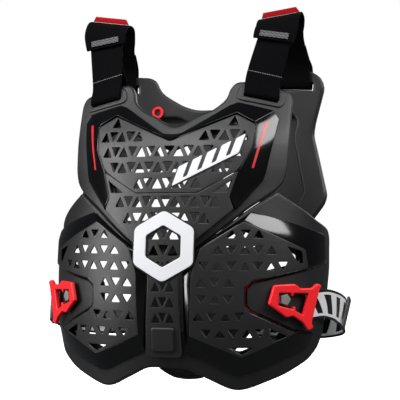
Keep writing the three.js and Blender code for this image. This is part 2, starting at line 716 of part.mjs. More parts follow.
function backWeb(side) {
  const slot = { wide: 130.8 * side, low: 188.6, high: 216 };
  const inner = BACK_FOAM.top - BACK_FOAM.thick - WEB.thick / 2 - WEB.gap - 1;
  const outer = BACK_FOAM.top + WEB.thick / 2 + WEB.gap + 1;
  const level = acrossAt(side, -6, -4);
  const row = (middle, across = level, wide = WEB.wide) => ({ middle, across, wide });
  const onEar = (high, rise) => row(onBack(slot.wide, high, rise));
  const rear = crownPoint(side, CROWN.radius, 180 - CROWN.lean);
  const ear = onBack(slot.wide, slot.high + 4, inner);
  const leg = (share, rise) => {
    const spot = ear.clone().lerp(rear, share);
    spot.y += rise;
    return row(spot, acrossAt(side, -6 + 6 * share, -4 + 12 * share));
  };
  const rows = [
    leg(0.55, WEB.thick + 1.4),
    leg(0.2, 10),
    onEar(slot.high + 2, outer),
    onEar(slot.low + 2.5, outer),
    onEar(slot.low, outer - 2.4),
    onEar(slot.low, inner + 2.4),
    onEar(slot.low + 2.5, inner),
    onEar(slot.high, inner),
    leg(0.3, 0),
    leg(0.7, 0),
  ];
  for (const degrees of [156, 141, 126, 111, 96, 81, 66, 52, 38, CROWN.lean]) {
    const share = Math.min((180 - degrees) / 60, 1);
    const wide = WEB.wide + (CROWN.saddleWide - WEB.wide) * share;
    rows.push(row(crownPoint(side, CROWN.radius, degrees), acrossAt(side, 0, 8), wide));
  }
  const end = saddleEnd(side);
  rows.push(row(end.near, acrossAt(side, 3, 4), CROWN.saddleWide - 1));
  rows.push(row(end.tip, acrossAt(side, 5, 0), CROWN.saddleWide - 4));
  return ribbon(rows, WEB.thick);
}

// The free end of the saddle, which lies along the front strap
function saddleEnd(side) {
  const start = crownPoint(side, CROWN.radius, CROWN.lean);
  const ear = onFront(116 * side, 192, FOAM.top + FOAM.ring + WEB.thick / 2 + WEB.gap);
  const inside = crownPoint(side, CROWN.radius - WEB.thick - CROWN.gap, CROWN.lean);
  const along = ear.sub(inside).normalize();
  return {
    near: start.clone().addScaledVector(along, 11),
    tip: start.clone().addScaledVector(along, 22),
    along,
  };
}

function pullTab(side) {
  const foot = crownPoint(side, CROWN.radius + WEB.thick / 2 + TAB.gap, 84);
  const across = acrossAt(side, 0, 8);
  // The tab stands square to the web's width, so its whole foot lies along the web
  const tip = foot.clone().add(new THREE.Vector3(-TAB.rise * across.z / across.x, -3, TAB.rise));
  return ribbon([
    { middle: foot, across, wide: TAB.wide },
    { middle: tip, across, wide: TAB.wide - 8 },
  ], TAB.thick);
}

function gripPatch(side) {
  const end = saddleEnd(side);
  const out = new THREE.Vector3(0, end.along.z, -end.along.y).normalize();
  const lift = (WEB.thick + PATCH.thick) / 2 + PATCH.gap;
  const at = (along) => end.tip.clone().addScaledVector(end.along, along).addScaledVector(out, lift);
  const across = acrossAt(side, 4, 2);
  return ribbon([
    { middle: at(-PATCH.high - 3), across, wide: PATCH.wide },
    { middle: at(-3), across, wide: PATCH.wide },
  ], PATCH.thick);
}

// Buckles, studs, side straps and sliders
function bucklePlane(side) {
  const origin = onFront(BUCKLE.wide * side, BUCKLE.high, -POCKET.drop + SHELL.thick + BUCKLE.lift);
  const probe = 8;
  const across = onFront((BUCKLE.wide + probe) * side, BUCKLE.high, 0)
    .sub(onFront((BUCKLE.wide - probe) * side, BUCKLE.high, 0)).normalize();
  const out = onFront(BUCKLE.wide * side, BUCKLE.high, 1).sub(onFront(BUCKLE.wide * side, BUCKLE.high, 0));
  out.normalize();
  const up = out.clone().cross(across).multiplyScalar(side).normalize();
  return { origin, across, up, out };
}

function onBuckle(side, along, up, rise) {
  const frame = bucklePlane(side);
  return frame.origin.clone()
    .addScaledVector(frame.across, along)
    .addScaledVector(frame.up, up)
    .addScaledVector(frame.out, rise);
}

function flatOnBuckle(points, side, low, high, holes, bevel) {
  const turned = (list) => {
    const found = list.map((p) => [p.along * side, p.up]);
    return side > 0 ? found : found.reverse();
  };
  const mesh = welded(plate(turned(points), low, high, bevel, holes.map(turned)));
  return toGeometry(mesh, (x, y, z) => onBuckle(side, x * side, y, z));
}

const buckle = (side) => flatOnBuckle(BUCKLE_EDGE, side, 0, BUCKLE.thick, [BUCKLE_WINDOW], 1.4);

function stud(side) {
  const points = [];
  for (let k = 0; k < STUD.sides; k += 1) {
    const turn = (k / STUD.sides) * Math.PI * 2;
    points.push({
      along: STUD.along + STUD.radius * Math.cos(turn),
      up: STUD.up + STUD.radius * Math.sin(turn),
    });
  }
  return flatOnBuckle(points, side, -BUCKLE.lift + 0.4, STUD.rise - BUCKLE.lift, [], 1);
}

// Emblem ring, slanted bars and collar rings
function regular(sides, radius, high, wide = 0, start = 90) {
  const points = [];
  for (let k = 0; k < sides; k += 1) {
    const turn = THREE.MathUtils.degToRad(start + (k * 360) / sides);
    points.push([wide + radius * Math.cos(turn), high + radius * Math.sin(turn)]);
  }
  return points;
}

function emblem() {
  const outer = regular(6, EMBLEM.outer, EMBLEM.high);
  const inner = regular(6, EMBLEM.inner, EMBLEM.high);
  return frontPanel(welded(plate(outer, EMBLEM.low, EMBLEM.low + EMBLEM.thick, 0.6, [inner])));
}

function flash() {
  const rise = Math.tan(THREE.MathUtils.degToRad(FLASH.slope));
  const length = FLASH.step * (FLASH.bars - 1) + FLASH.barWide;
  const at = (along, up) => [FLASH.wide + along + up * 0.3, FLASH.high + along * rise + up];
  const foot = [at(0, 0), at(length, 0), at(length, FLASH.foot), at(0, FLASH.foot)];
  let body = solid(plate(foot, FLASH.low, FLASH.low + FLASH.thick));
  for (let k = 0; k < FLASH.bars; k += 1) {
    const start = k * FLASH.step;
    const stop = start + FLASH.barWide;
    const bar = [at(start, 1), at(stop, 1), at(stop, FLASH.barHigh), at(start, FLASH.barHigh)];
    body = body.add(solid(plate(bar, FLASH.low, FLASH.low + FLASH.thick)));
  }
  return frontPanel(meshOf(body));
}

function collarRing(side) {
  const outer = regular(10, RING.outer, RING.high, RING.wide * side);
  const inner = regular(10, RING.inner, RING.high, RING.wide * side);
  const top = BACK_FOAM.top - BACK_FOAM.thick - RING.gap;
  return backPanel(welded(plate(outer, top - RING.thick, top, 0, [inner])));
}

function strapSections(side) {
  const frame = bucklePlane(side);
  const bar = frame.up.clone().addScaledVector(frame.across, BAR.slant).normalize();
  const atBar = {
    middle: onBuckle(side, BAR.along, BAR.up, -SIDE_STRAP.thick / 2 - BAR.gap),
    across: bar,
    wide: SIDE_STRAP.wide - 2,
  };
  const rise = BACK_FOAM.top + SIDE_STRAP.thick / 2 + STRAP_END.gap;
  const end = onBack(STRAP_END.wide * side, STRAP_END.high, rise);
  return [atBar].concat(STRAP_ROWS.map((row) => {
    const fall = THREE.MathUtils.degToRad(row.fall);
    const bulge = new THREE.Vector3(row.out * BODY.halfWidth * side, row.back, row.up);
    return {
      middle: atBar.middle.clone().lerp(end, row.share).add(bulge),
      across: new THREE.Vector3(0.1 * side, -Math.sin(fall), Math.cos(fall)),
      wide: SIDE_STRAP.wide,
    };
  }));
}

const sideStrap = (side) => ribbon(strapSections(side), SIDE_STRAP.thick);

function slider(side) {
  const [from, at, to] = strapSections(side).slice(3, 6);
  const along = to.middle.clone().sub(from.middle).normalize();
  const across = at.across.clone();
  across.sub(along.clone().multiplyScalar(across.dot(along))).normalize();
  const out = along.clone().cross(across).normalize().multiplyScalar(side);
  const half = SLIDER.long / 2;
  const lift = SIDE_STRAP.thick / 2 + SLIDER.gap;
  const edge = [[-SLIDER.wide / 2, -half], [SLIDER.wide / 2, -half], [SLIDER.wide / 2, half],
    [-SLIDER.wide / 2, half]];
  const windows = [-1, 1].map((s) => {
    const middle = s * (SLIDER.slotWide / 2 + 1.1);
    const w = SLIDER.slotWide / 2;
    const h = SLIDER.slotLong / 2;
    return [[middle - w, -h], [middle + w, -h], [middle + w, h], [middle - w, h]];
  });
  const body = solid(plate(edge, lift, lift + SLIDER.thick, 0.8));
  const mesh = meshOf(body.subtract(solid(...windows.map((w) => plate(w, -10, 20)))));
  return toGeometry(mesh, (x, y, z) => at.middle.clone()
    .addScaledVector(along, x * side)
    .addScaledVector(across, y)
    .addScaledVector(out, z));
}

const group = new THREE.Group();
group.name = 'roost_deflector';

function addNode(name, geometry, colour, roughness, metalness = 0) {
  const material = new THREE.MeshStandardMaterial({ color: colour, roughness, metalness });
  const mesh = new THREE.Mesh(geometry, material);
  mesh.name = name;
  group.add(mesh);
}

const CHARCOAL = 0x303032;
const GLOSS = 0x141416;
const WEBBING = 0x0c0c0e;
const RED = 0xe8242c;
const WHITE = 0xf0f0f2;

addNode('chest_foam', chestFoam(), 0x38383a, 0.8);
addNode('belly_foam', bellyFoam(), 0x38383a, 0.8);
addNode('chest_shell', chestShell(), GLOSS, 0.2);
addNode('upper_plate', upperPlate(), CHARCOAL, 0.6);
addNode('sternum_plate', sternumPlate(), CHARCOAL, 0.6);
addNode('emblem', emblem(), WHITE, 0.5);
addNode('chest_flash', flash(), WHITE, 0.5);
addNode('back_foam', backFoam(), 0x38383a, 0.8);
addNode('back_shell', backShell(), CHARCOAL, 0.5);
for (const [word, side] of [['left', 1], ['right', -1]]) {
  addNode(`rib_shell_${word}`, ribShell(side), GLOSS, 0.35);
  addNode(`front_web_${word}`, frontWeb(side), WEBBING, 0.9);
  addNode(`back_web_${word}`, backWeb(side), WEBBING, 0.9);
  addNode(`pull_tab_${word}`, pullTab(side), RED, 0.7);
  addNode(`buckle_${word}`, buckle(side), RED, 0.4);
  addNode(`stud_${word}`, stud(side), 0x7d7d78, 0.6);
  addNode(`grip_patch_${word}`, gripPatch(side), 0x8c8c90, 0.7);
  addNode(`side_strap_${word}`, sideStrap(side), WHITE, 0.85);
  addNode(`slider_${word}`, slider(side), WEBBING, 0.5);
  addNode(`collar_ring_${word}`, collarRing(-side), RED, 0.7);
}

export default group;
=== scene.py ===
"""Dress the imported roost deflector: moulded shells, foam rims, webbing, clips and badges."""
import logging
import math
from collections.abc import Callable, Sequence
from dataclasses import dataclass
from enum import Enum
from functools import cache

import bpy
import numpy as np
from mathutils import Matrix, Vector


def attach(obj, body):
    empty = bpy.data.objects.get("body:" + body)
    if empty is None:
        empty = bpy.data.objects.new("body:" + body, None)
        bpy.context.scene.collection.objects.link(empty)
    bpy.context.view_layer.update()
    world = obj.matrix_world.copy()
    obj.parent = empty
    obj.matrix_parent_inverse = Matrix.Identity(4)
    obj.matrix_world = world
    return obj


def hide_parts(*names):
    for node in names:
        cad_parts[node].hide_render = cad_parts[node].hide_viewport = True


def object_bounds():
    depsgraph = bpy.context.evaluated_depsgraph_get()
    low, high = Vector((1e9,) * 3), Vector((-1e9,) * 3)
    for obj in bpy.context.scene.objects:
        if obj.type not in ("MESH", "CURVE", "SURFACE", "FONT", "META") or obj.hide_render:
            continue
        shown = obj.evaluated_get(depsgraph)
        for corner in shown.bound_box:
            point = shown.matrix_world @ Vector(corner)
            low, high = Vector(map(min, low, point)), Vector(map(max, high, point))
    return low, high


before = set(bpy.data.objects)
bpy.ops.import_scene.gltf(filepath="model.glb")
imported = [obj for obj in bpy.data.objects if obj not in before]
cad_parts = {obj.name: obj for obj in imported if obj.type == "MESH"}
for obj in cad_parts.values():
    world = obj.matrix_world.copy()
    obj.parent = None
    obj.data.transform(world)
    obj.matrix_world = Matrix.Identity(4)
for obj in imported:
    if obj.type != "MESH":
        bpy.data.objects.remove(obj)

CAD_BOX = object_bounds()
LOG = logging.getLogger("roost_deflector")
MM = 0.001
# How far along a side the rounding of its corner may reach, as a share of the side
CORNER_SHARE = 0.42
# Millimetres within which a flat plate's points are welded, and that its cuts keep off typed corners
WELD, CUT_SHIFT = 0.002, 0.013
# A wave texture's bands repeat every so many units at scale 1
WAVE_PERIOD = 0.314
Pair = tuple[float, float]
Triple = tuple[float, float, float]
Place = Callable[[np.ndarray, np.ndarray, np.ndarray], np.ndarray]


class Side(Enum):
    """Which side of the wearer a piece is on, by the sign of its x."""

    LEFT = 1
    RIGHT = -1

    @property
    def word(self) -> str:
        """The word that ends the names of this side's pieces."""
        return self.name.lower()


class Facing(Enum):
    """Which face of the body a panel lies on."""

    FRONT = 1
    BACK = -1


# ---- the body form that every panel is bent onto


@dataclass(frozen=True)
class Torso:
    """The body form in millimetres: rows of (height, depth, sweep) in front, (height, depth) behind."""

    half_width: float = 200.0
    back_radius: float = 230.0
    bow: float = 30.0
    shoulder_depth: float = 180.0
    shoulder_height: float = 278.0
    front_rows: tuple = (
        (-220, 46, 150), (-170, 37, 150), (-110, 31, 150), (-40, 34, 150), (40, 46, 150),
        (75, 54, 134), (106, 64, 120), (150, 89, 90), (178, 103, 85), (215, 118, 80),
    )
    back_rows: tuple = ((-230, 147), (-150, 170), (-93, 190), (0, 222), (100, 243), (165, 250), (240, 258))
    # Parts of the front's quarter ellipse, the back's broadest sine and how far off a slope is read
    parts: int = 90
    broadest: float = 0.99
    probe: float = 0.5

    def row_value(self, rows: Sequence, column: int, high: np.ndarray) -> np.ndarray:
        """Blend one column of a row table smoothly by height.

        Args:
            rows: The table, sorted by height.
            column: Which column is read.
            high: Heights in millimetres.

        Returns:
            The column's value at each height.
        """
        table = np.array(rows, float)
        at, value = table[:, 0], table[:, column]
        slope = np.diff(value) / np.diff(at)
        knot = np.concatenate([slope[:1], (slope[:-1] + slope[1:]) / 2, slope[-1:]])
        i = np.clip(np.searchsorted(at, high) - 1, 0, len(at) - 2)
        span = at[i + 1] - at[i]
        t = np.clip((high - at[i]) / span, 0, 1)
        ease = t * t * (3 - 2 * t)
        start = t * (1 - t) ** 2 * knot[i]
        stop = t * t * (t - 1) * knot[i + 1]
        return value[i] * (1 - ease) + value[i + 1] * ease + span * (start + stop)

    def turn(self, wide: np.ndarray) -> np.ndarray:
        """Turn round the front's ellipse for a length walked along it, in radians.

        Args:
            wide: Lengths walked from the middle, in millimetres.

        Returns:
            The turn for each length.
        """
        steps = (np.arange(self.parts) + 0.5) / self.parts * math.pi / 2
        sweep = self.front_rows[0][2]
        stride = np.hypot(self.half_width * np.cos(steps), sweep * np.sin(steps))
        walked = np.concatenate([[0.0], np.cumsum(stride * math.pi / (2 * self.parts))])
        turns = np.linspace(0, math.pi / 2, self.parts + 1)
        return np.interp(np.abs(wide), walked, turns) * np.sign(wide)

    def base(self, facing: Facing, wide: np.ndarray, high: np.ndarray) -> np.ndarray:
        """Give points on the body's front or back, in millimetres.

        Args:
            facing: The face of the body.
            wide: Lengths across it from the middle.
            high: Heights.

        Returns:
            One row of x, y, z for each point.
        """
        if facing is Facing.FRONT:
            turn = self.turn(wide)
            depth = self.row_value(self.front_rows, 1, high)
            sweep = self.row_value(self.front_rows, 2, high)
            return np.stack([self.half_width * np.sin(turn), depth + sweep * (1 - np.cos(turn)), high], 1)
        turn = np.arcsin(np.clip(wide / self.back_radius, -self.broadest, self.broadest))
        depth = self.row_value(self.back_rows, 1, high)
        return np.stack([wide, depth - self.bow * (1 - np.cos(turn)), high], 1)

    def on(self, facing: Facing, wide: np.ndarray, high: np.ndarray, rise: np.ndarray) -> np.ndarray:
        """Give points raised off the body along its outward direction, in millimetres.

        Args:
            facing: The face of the body.
            wide: Lengths across it from the middle.
            high: Heights.
            rise: Distances out from the body's face.

        Returns:
            One row of x, y, z for each point.
        """
        step = self.probe
        across = self.base(facing, wide + step, high) - self.base(facing, wide - step, high)
        up = self.base(facing, wide, high + step) - self.base(facing, wide, high - step)
        out = np.cross(across, up)
        out /= np.linalg.norm(out, axis=1)[:, None]
        return self.base(facing, wide, high) + out * (rise * facing.value)[:, None]

    def front(self, wide: np.ndarray, high: np.ndarray, rise: np.ndarray) -> np.ndarray:
        """Lay points onto the front, in millimetres."""
        return self.on(Facing.FRONT, wide, high, rise)

    def back(self, wide: np.ndarray, high: np.ndarray, rise: np.ndarray) -> np.ndarray:
        """Lay points onto the back, in millimetres, with +wide to the wearer's right."""
        return self.on(Facing.BACK, -wide, high, rise)

    def front_point(self, wide: float, high: float, rise: float) -> Vector:
        """Give one raised point of the front, in millimetres."""
        return Vector(self.front(*(np.array([v], float) for v in (wide, high, rise)))[0])

    def back_point(self, wide: float, high: float, rise: float) -> Vector:
        """Give one raised point of the back, in millimetres, with +wide to the wearer's left."""
        return Vector(self.on(Facing.BACK, *(np.array([v], float) for v in (wide, high, rise)))[0])

    def settle(self, points: np.ndarray) -> np.ndarray:
        """Move points from the body's own millimetres to metres about the shoulder origin."""
        return (points - np.array([0.0, self.shoulder_depth, self.shoulder_height])) * MM


BODY = Torso()


# ---- outlines


def whole(half: Sequence[Pair]) -> list[Pair]:
    """Mirror a half outline, from the top middle to the bottom middle, into a closed one."""
    return list(half) + [(-w, h) for w, h in reversed(half) if w > 0]


def sided(points: Sequence[Pair], side: Side) -> list[Pair]:
    """Give an outline on one side of the body."""
    turned = [(w * side.value, h) for w, h in points]
    return turned if side is Side.LEFT else turned[::-1]


def softened(points: Sequence[Pair], radius: float, steps: int = 3) -> list[Pair]:
    """Round every corner of a closed outline.

    Args:
        points: The outline's corners.
        radius: How far from each corner the rounding starts, at most CORNER_SHARE of a side.
        steps: Points of each rounded corner.

    Returns:
        The rounded outline.
    """
    found = []
    count = len(points)
    for i, here in enumerate(points):
        corner = Vector(here)
        before, after = Vector(points[i - 1]) - corner, Vector(points[(i + 1) % count]) - corner
        reach = min(radius, CORNER_SHARE * before.length, CORNER_SHARE * after.length)
        start = corner + before.normalized() * reach
        stop = corner + after.normalized() * reach
        for k in range(steps):
            t = k / (steps - 1)
            spot = start * (1 - t) ** 2 + corner * 2 * t * (1 - t) + stop * t * t
            found.append((spot.x, spot.y))
    return found


def oblong(middle: float, half_wide: float, half_high: float) -> list[Pair]:
    """Give a rectangle's corners."""
    return [(middle + s * half_wide, t * half_high) for s, t in ((-1, -1), (1, -1), (1, 1), (-1, 1))]


@dataclass(frozen=True)
class HoleRow:
    """One row of triangular holes: its height, first middle, count and which way the first points."""

    height: float
    first: float
    count: int
    up: bool
    mirrored: bool = False


@dataclass(frozen=True)
class HolePattern:
    """Rows of triangles that turn up and down by turns, in millimetres."""

    base: float
    rise: float
    step: float
    rows: tuple[HoleRow, ...]
    corner: float = 1.6

    def holes(self, side: Side = Side.LEFT) -> list[list[Pair]]:
        """List the rounded triangles of all rows on one side.

        Args:
            side: The side of the body, for rows that are not mirrored.

        Returns:
            One closed outline for each hole.
        """
        found = []
        for row in self.rows:
            for k in range(row.count):
                middle = row.first + k * self.step
                up = 1 if (k % 2 == 0) == row.up else -1
                foot = row.height - up * self.rise / 2
                for s in (1, -1) if row.mirrored else (side.value,):
                    corners = [
                        (s * (middle - self.base / 2), foot),
                        (s * (middle + self.base / 2), foot),
                        (s * middle, foot + up * self.rise),
                    ]
                    found.append(softened(corners, self.corner))
        return found


# ---- modelling steps that several pieces share


def deselect() -> None:
    """Leave edit mode and deselect every object."""
    if bpy.context.object and bpy.context.object.mode != "OBJECT":
        bpy.ops.object.mode_set(mode="OBJECT")
    bpy.ops.object.select_all(action="DESELECT")


def pick(*objects: bpy.types.Object) -> None:
    """Select only these objects and make the first one active.

    Args:
        *objects: The objects, the one to be active first.
    """
    deselect()
    for obj in objects:
        obj.select_set(True)
    bpy.context.view_layer.objects.active = objects[0]


def corners_of(obj: bpy.types.Object) -> np.ndarray:
    """Read a mesh's vertices as rows of x, y, z.

    Args:
        obj: The mesh object.

    Returns:
        The vertices' places.
    """
    flat = np.empty(len(obj.data.vertices) * 3)
    obj.data.vertices.foreach_get("co", flat)
    return flat.reshape(-1, 3)


def set_corners(obj: bpy.types.Object, points: np.ndarray) -> None:
    """Write a mesh's vertices back and bring the mesh up to date."""
    obj.data.vertices.foreach_set("co", points.ravel())
    obj.data.update()


def modify(obj: bpy.types.Object, kind: str, **settings: object) -> None:
    """Add one modifier with its settings and apply it.

    Args:
        obj: The mesh object.
        kind: The modifier's type name.
        **settings: The modifier's properties.
    """
    pick(obj)
    bpy.ops.object.modifier_add(type=kind)
    modifier = obj.modifiers[-1]
    for name, value in settings.items():
        setattr(modifier, name, value)
    bpy.ops.object.modifier_apply(modifier=modifier.name)


def even_shading(obj: bpy.types.Object, degrees: float = 38.0) -> None:
    """Shade smoothly up to an angle, with broad faces setting the normals.

    Args:
        obj: The mesh object.
        degrees: The largest angle that is shaded smoothly.
    """
    pick(obj)
    bpy.ops.object.shade_smooth_by_angle(angle=math.radians(degrees))
    modify(obj, "WEIGHTED_NORMAL", keep_sharp=True)


def face_outwards(obj: bpy.types.Object) -> None:
    """Recalculate a closed mesh's normals so that they point out.

    Args:
        obj: The mesh object.
    """
    pick(obj)
    bpy.ops.object.mode_set(mode="EDIT")
    bpy.ops.mesh.select_all(action="SELECT")
    bpy.ops.mesh.normals_make_consistent(inside=False)
    bpy.ops.object.mode_set(mode="OBJECT")


def joined(parts: Sequence[bpy.types.Object]) -> bpy.types.Object:
    """Join several meshes into the first one, each keeping its finish.

    Args:
        parts: The mesh objects.

    Returns:
        The first one, which now holds them all.
    """
    pick(*parts)
    if len(parts) > 1:
        bpy.ops.object.join()
    return parts[0]


@dataclass
class FlatPanel:
    """A plate with holes and rounded edges, made flat and then laid onto a surface.

    Its outline and holes are in millimetres, it runs from low to high off the surface, and
    pitch is the spacing of the cuts that let it bend.
    """

    outline: list[Pair]
    low: float
    high: float
    edge: float
    holes: Sequence[list[Pair]] = ()
    edge_steps: int = 1
    pitch: float = 11.0

    def build(self, place: Place) -> bpy.types.Object:
        """Model the plate and lay it onto its surface.

        Args:
            place: Turns widths, heights and rises in millimetres into points in millimetres.

        Returns:
            The finished mesh object, in metres.
        """
        deselect()
        bpy.ops.object.add(type="CURVE", location=(0, 0, 0))
        curve = bpy.context.object.data
        curve.dimensions = "2D"
        curve.fill_mode = "BOTH"
        for loop in (self.outline, *self.holes):
            spline = curve.splines.new("POLY")
            spline.points.add(len(loop) - 1)
            spline.points.foreach_set("co", [v for w, h in loop for v in (w, h, 0.0, 1.0)])
            spline.use_cyclic_u = True
        curve.extrude = (self.high - self.low) / 2 - self.edge
        curve.bevel_depth = self.edge
        curve.bevel_resolution = self.edge_steps
        curve.offset = -self.edge
        bpy.ops.object.convert(target="MESH")
        obj = bpy.context.object
        self.cut(obj)
        flat = corners_of(obj)
        middle = (self.high + self.low) / 2
        set_corners(obj, BODY.settle(place(flat[:, 0], flat[:, 1], flat[:, 2] + middle)))
        face_outwards(obj)
        even_shading(obj)
        return obj

    def cut(self, obj: bpy.types.Object) -> None:
        """Weld the flat plate and cut it along a grid, so that it can bend.

        Args:
            obj: The flat plate.
        """
        spots = corners_of(obj)
        pick(obj)
        bpy.ops.object.mode_set(mode="EDIT")
        bpy.ops.mesh.select_all(action="SELECT")
        bpy.ops.mesh.remove_doubles(threshold=WELD)
        for axis in (0, 1):
            low, high = spots[:, axis].min(), spots[:, axis].max()
            normal = (1, 0, 0) if axis == 0 else (0, 1, 0)
            for at in np.arange(low + self.pitch / 2 + CUT_SHIFT, high, self.pitch):
                bpy.ops.mesh.select_all(action="SELECT")
                bpy.ops.mesh.bisect(plane_co=[at * n for n in normal], plane_no=normal)
        bpy.ops.object.mode_set(mode="OBJECT")


def gridded(columns: int, rows: int) -> tuple[bpy.types.Object, np.ndarray]:
    """Add a flat grid to be shaped.

    Args:
        columns: Faces along x.
        rows: Faces along y.

    Returns:
        The object, and each vertex's share of the way along x and y.
    """
    deselect()
    bpy.ops.mesh.primitive_grid_add(x_subdivisions=columns, y_subdivisions=rows, size=1.0)
    obj = bpy.context.object
    return obj, corners_of(obj)[:, :2] + 0.5


def measured(obj: bpy.types.Object, length: float, width: float) -> None:
    """Stretch a strip's UV map so that it reads in metres along and across.

    Args:
        obj: The strip.
        length: Its length in metres.
        width: Its width in metres.
    """
    layer = obj.data.uv_layers.active.data
    flat = np.empty(len(layer) * 2)
    layer.foreach_get("uv", flat)
    flat = flat.reshape(-1, 2) * np.array([length, width])
    layer.foreach_set("uv", flat.ravel())


@dataclass(frozen=True)
class Station:
    """One section of a lofted band: outer and inner width, height and rise, in millimetres."""

    out_wide: float
    out_high: float
    in_wide: float
    in_high: float
    out_rise: float
    in_rise: float

    def values(self) -> np.ndarray:
        """Give the outer and the inner point as two rows.

        Returns:
            The width, height and rise of both points, in millimetres.
        """
        return np.array([
            [self.out_wide, self.out_high, self.out_rise],
            [self.in_wide, self.in_high, self.in_rise],
        ])


@dataclass
class Band:
    """A shell band lofted between an outer and an inner edge, with a crowned face."""

    stations: list[Station]
    thick: float = 2.4
    crown: float = 0.5
    pitch: float = 7.0
    rows: int = 6
    edge: float = 0.7

    def track(self) -> np.ndarray:
        """Walk the stations in even steps and give each step's outer and inner points.

        Returns:
            Each step's outer and inner point, in millimetres.
        """
        found = []
        for a, b in zip(self.stations, self.stations[1:]):
            start, stop = a.values(), b.values()
            reach = max(np.linalg.norm((stop - start)[0]), np.linalg.norm((stop - start)[1]))
            steps = max(int(reach / self.pitch), 1)
            found += [start + (stop - start) * k / steps for k in range(steps)]
        found.append(self.stations[-1].values())
        return np.array(found)

    def build(self, side: Side | None = None) -> bpy.types.Object:
        """Model the band on the front of the body.

        Args:
            side: The side for a band of one side, or none for one drawn whole.

        Returns:
            The finished mesh object, in metres.
        """
        track = self.track()
        obj, share = gridded(len(track) - 1, self.rows)
        k = np.rint(share[:, 0] * (len(track) - 1)).astype(int)
        across = share[:, 1][:, None]
        spot = track[k, 0] * (1 - across) + track[k, 1] * across
        spot[:, 2] += self.crown * np.sin(math.pi * across[:, 0])
        sign = side.value if side else 1
        set_corners(obj, BODY.settle(BODY.front(spot[:, 0] * sign, spot[:, 1], spot[:, 2])))
        inward = bool(np.mean([p.normal.dot(p.center) for p in obj.data.polygons]) < 0)
        pick(obj)
        bpy.ops.object.mode_set(mode="EDIT")
        bpy.ops.mesh.select_all(action="SELECT")
        bpy.ops.mesh.remove_doubles(threshold=1e-5)
        if inward:
            bpy.ops.mesh.flip_normals()
        bpy.ops.object.mode_set(mode="OBJECT")
        modify(obj, "SOLIDIFY", thickness=self.thick * MM, offset=-1.0)
        modify(obj, "BEVEL", width=self.edge * MM, segments=2, limit_method="ANGLE", angle_limit=0.9)
        even_shading(obj, 32)
        return obj


@dataclass(frozen=True)
class Section:
    """One section of a strap: its middle, the way across it, both as vectors, and its width."""

    middle: Vector
    across: Vector
    wide: float


@dataclass
class Ribbon:
    """A flat strap run smoothly through sections, in millimetres."""

    sections: list[Section]
    thick: float
    pitch: float = 3.0
    rows: int = 8
    edge_share: float = 0.32

    def smooth(self) -> tuple[np.ndarray, np.ndarray, np.ndarray]:
        """Blend the sections into close ones.

        Returns:
            The middles, the ways across and the widths.
        """
        table = np.array([[*s.middle, *s.across, s.wide] for s in self.sections])
        last = len(table) - 1
        found = []
        for i in range(last):
            p0, p1, p2, p3 = (table[min(max(i + d, 0), last)] for d in (-1, 0, 1, 2))
            chord = [max(np.linalg.norm(b[:3] - a[:3]), 1e-3) for a, b in ((p0, p1), (p1, p2), (p2, p3))]
            steps = max(int(chord[1] / self.pitch), 2)
            m1 = (p2 - p0) / (chord[0] + chord[1]) * chord[1]
            m2 = (p3 - p1) / (chord[1] + chord[2]) * chord[1]
            for k in range(steps):
                t = k / steps
                found.append(
                    p1 * (1 + 2 * t) * (1 - t) ** 2 + m1 * t * (1 - t) ** 2
                    + p2 * t * t * (3 - 2 * t) + m2 * t * t * (t - 1)
                )
        found.append(table[-1])
        path = np.array(found)
        return path[:, :3], path[:, 3:6], path[:, 6]

    def build(self) -> bpy.types.Object:
        """Model the strap.

        Returns:
            The finished mesh object, in metres, with a UV map in metres.
        """
        middles, across, wide = self.smooth()
        along = np.gradient(middles, axis=0)
        along /= np.linalg.norm(along, axis=1)[:, None]
        across = across - along * np.sum(across * along, axis=1)[:, None]
        across /= np.linalg.norm(across, axis=1)[:, None]
        obj, share = gridded(len(middles) - 1, self.rows)
        k = np.rint(share[:, 0] * (len(middles) - 1)).astype(int)
        off = (share[:, 1] - 0.5)[:, None] * wide[k][:, None]
        set_corners(obj, BODY.settle(middles[k] + across[k] * off))
        length = float(np.sum(np.linalg.norm(np.diff(middles, axis=0), axis=1)))
        measured(obj, length * MM, float(wide.max()) * MM)
        modify(obj, "SOLIDIFY", thickness=self.thick * MM, offset=0.0)
        modify(obj, "BEVEL", width=self.edge_share * self.thick * MM, segments=2, limit_method="ANGLE",
               angle_limit=1.0)
        face_outwards(obj)
        even_shading(obj, 50)
        return obj


def plane(origin: Vector, across: Vector, up: Vector, out: Vector, side: Side) -> Place:
    """Say how flat points are laid onto a plane.

    Args:
        origin: The plane's middle, in millimetres.
        across: Its way across, for the wearer's left.
        up: Its way up.
        out: Its way out.
        side: The side of the body, which turns widths about.

    Returns:
        The placing, as FlatPanel.build takes it.
    """
    middle, a, b, c = (np.array(v) for v in (origin, across, up, out))

    def place(wide: np.ndarray, high: np.ndarray, rise: np.ndarray) -> np.ndarray:
        """Lay flat points onto the plane."""
        return middle + (wide * side.value)[:, None] * a + high[:, None] * b + rise[:, None] * c

    return place


# ---- finishes


def linear(colour: str, alpha: float = 1.0) -> tuple[float, float, float, float]:
    """Turn an sRGB hex colour to a linear one.

    Args:
        colour: Six hex digits.
        alpha: Its opacity.

    Returns:
        Linear red, green, blue and alpha.
    """
    parts = [int(colour[i:i + 2], 16) / 255 for i in (0, 2, 4)]
    red, green, blue = (v / 12.92 if v <= 0.04045 else ((v + 0.055) / 1.055) ** 2.4 for v in parts)
    return red, green, blue, alpha


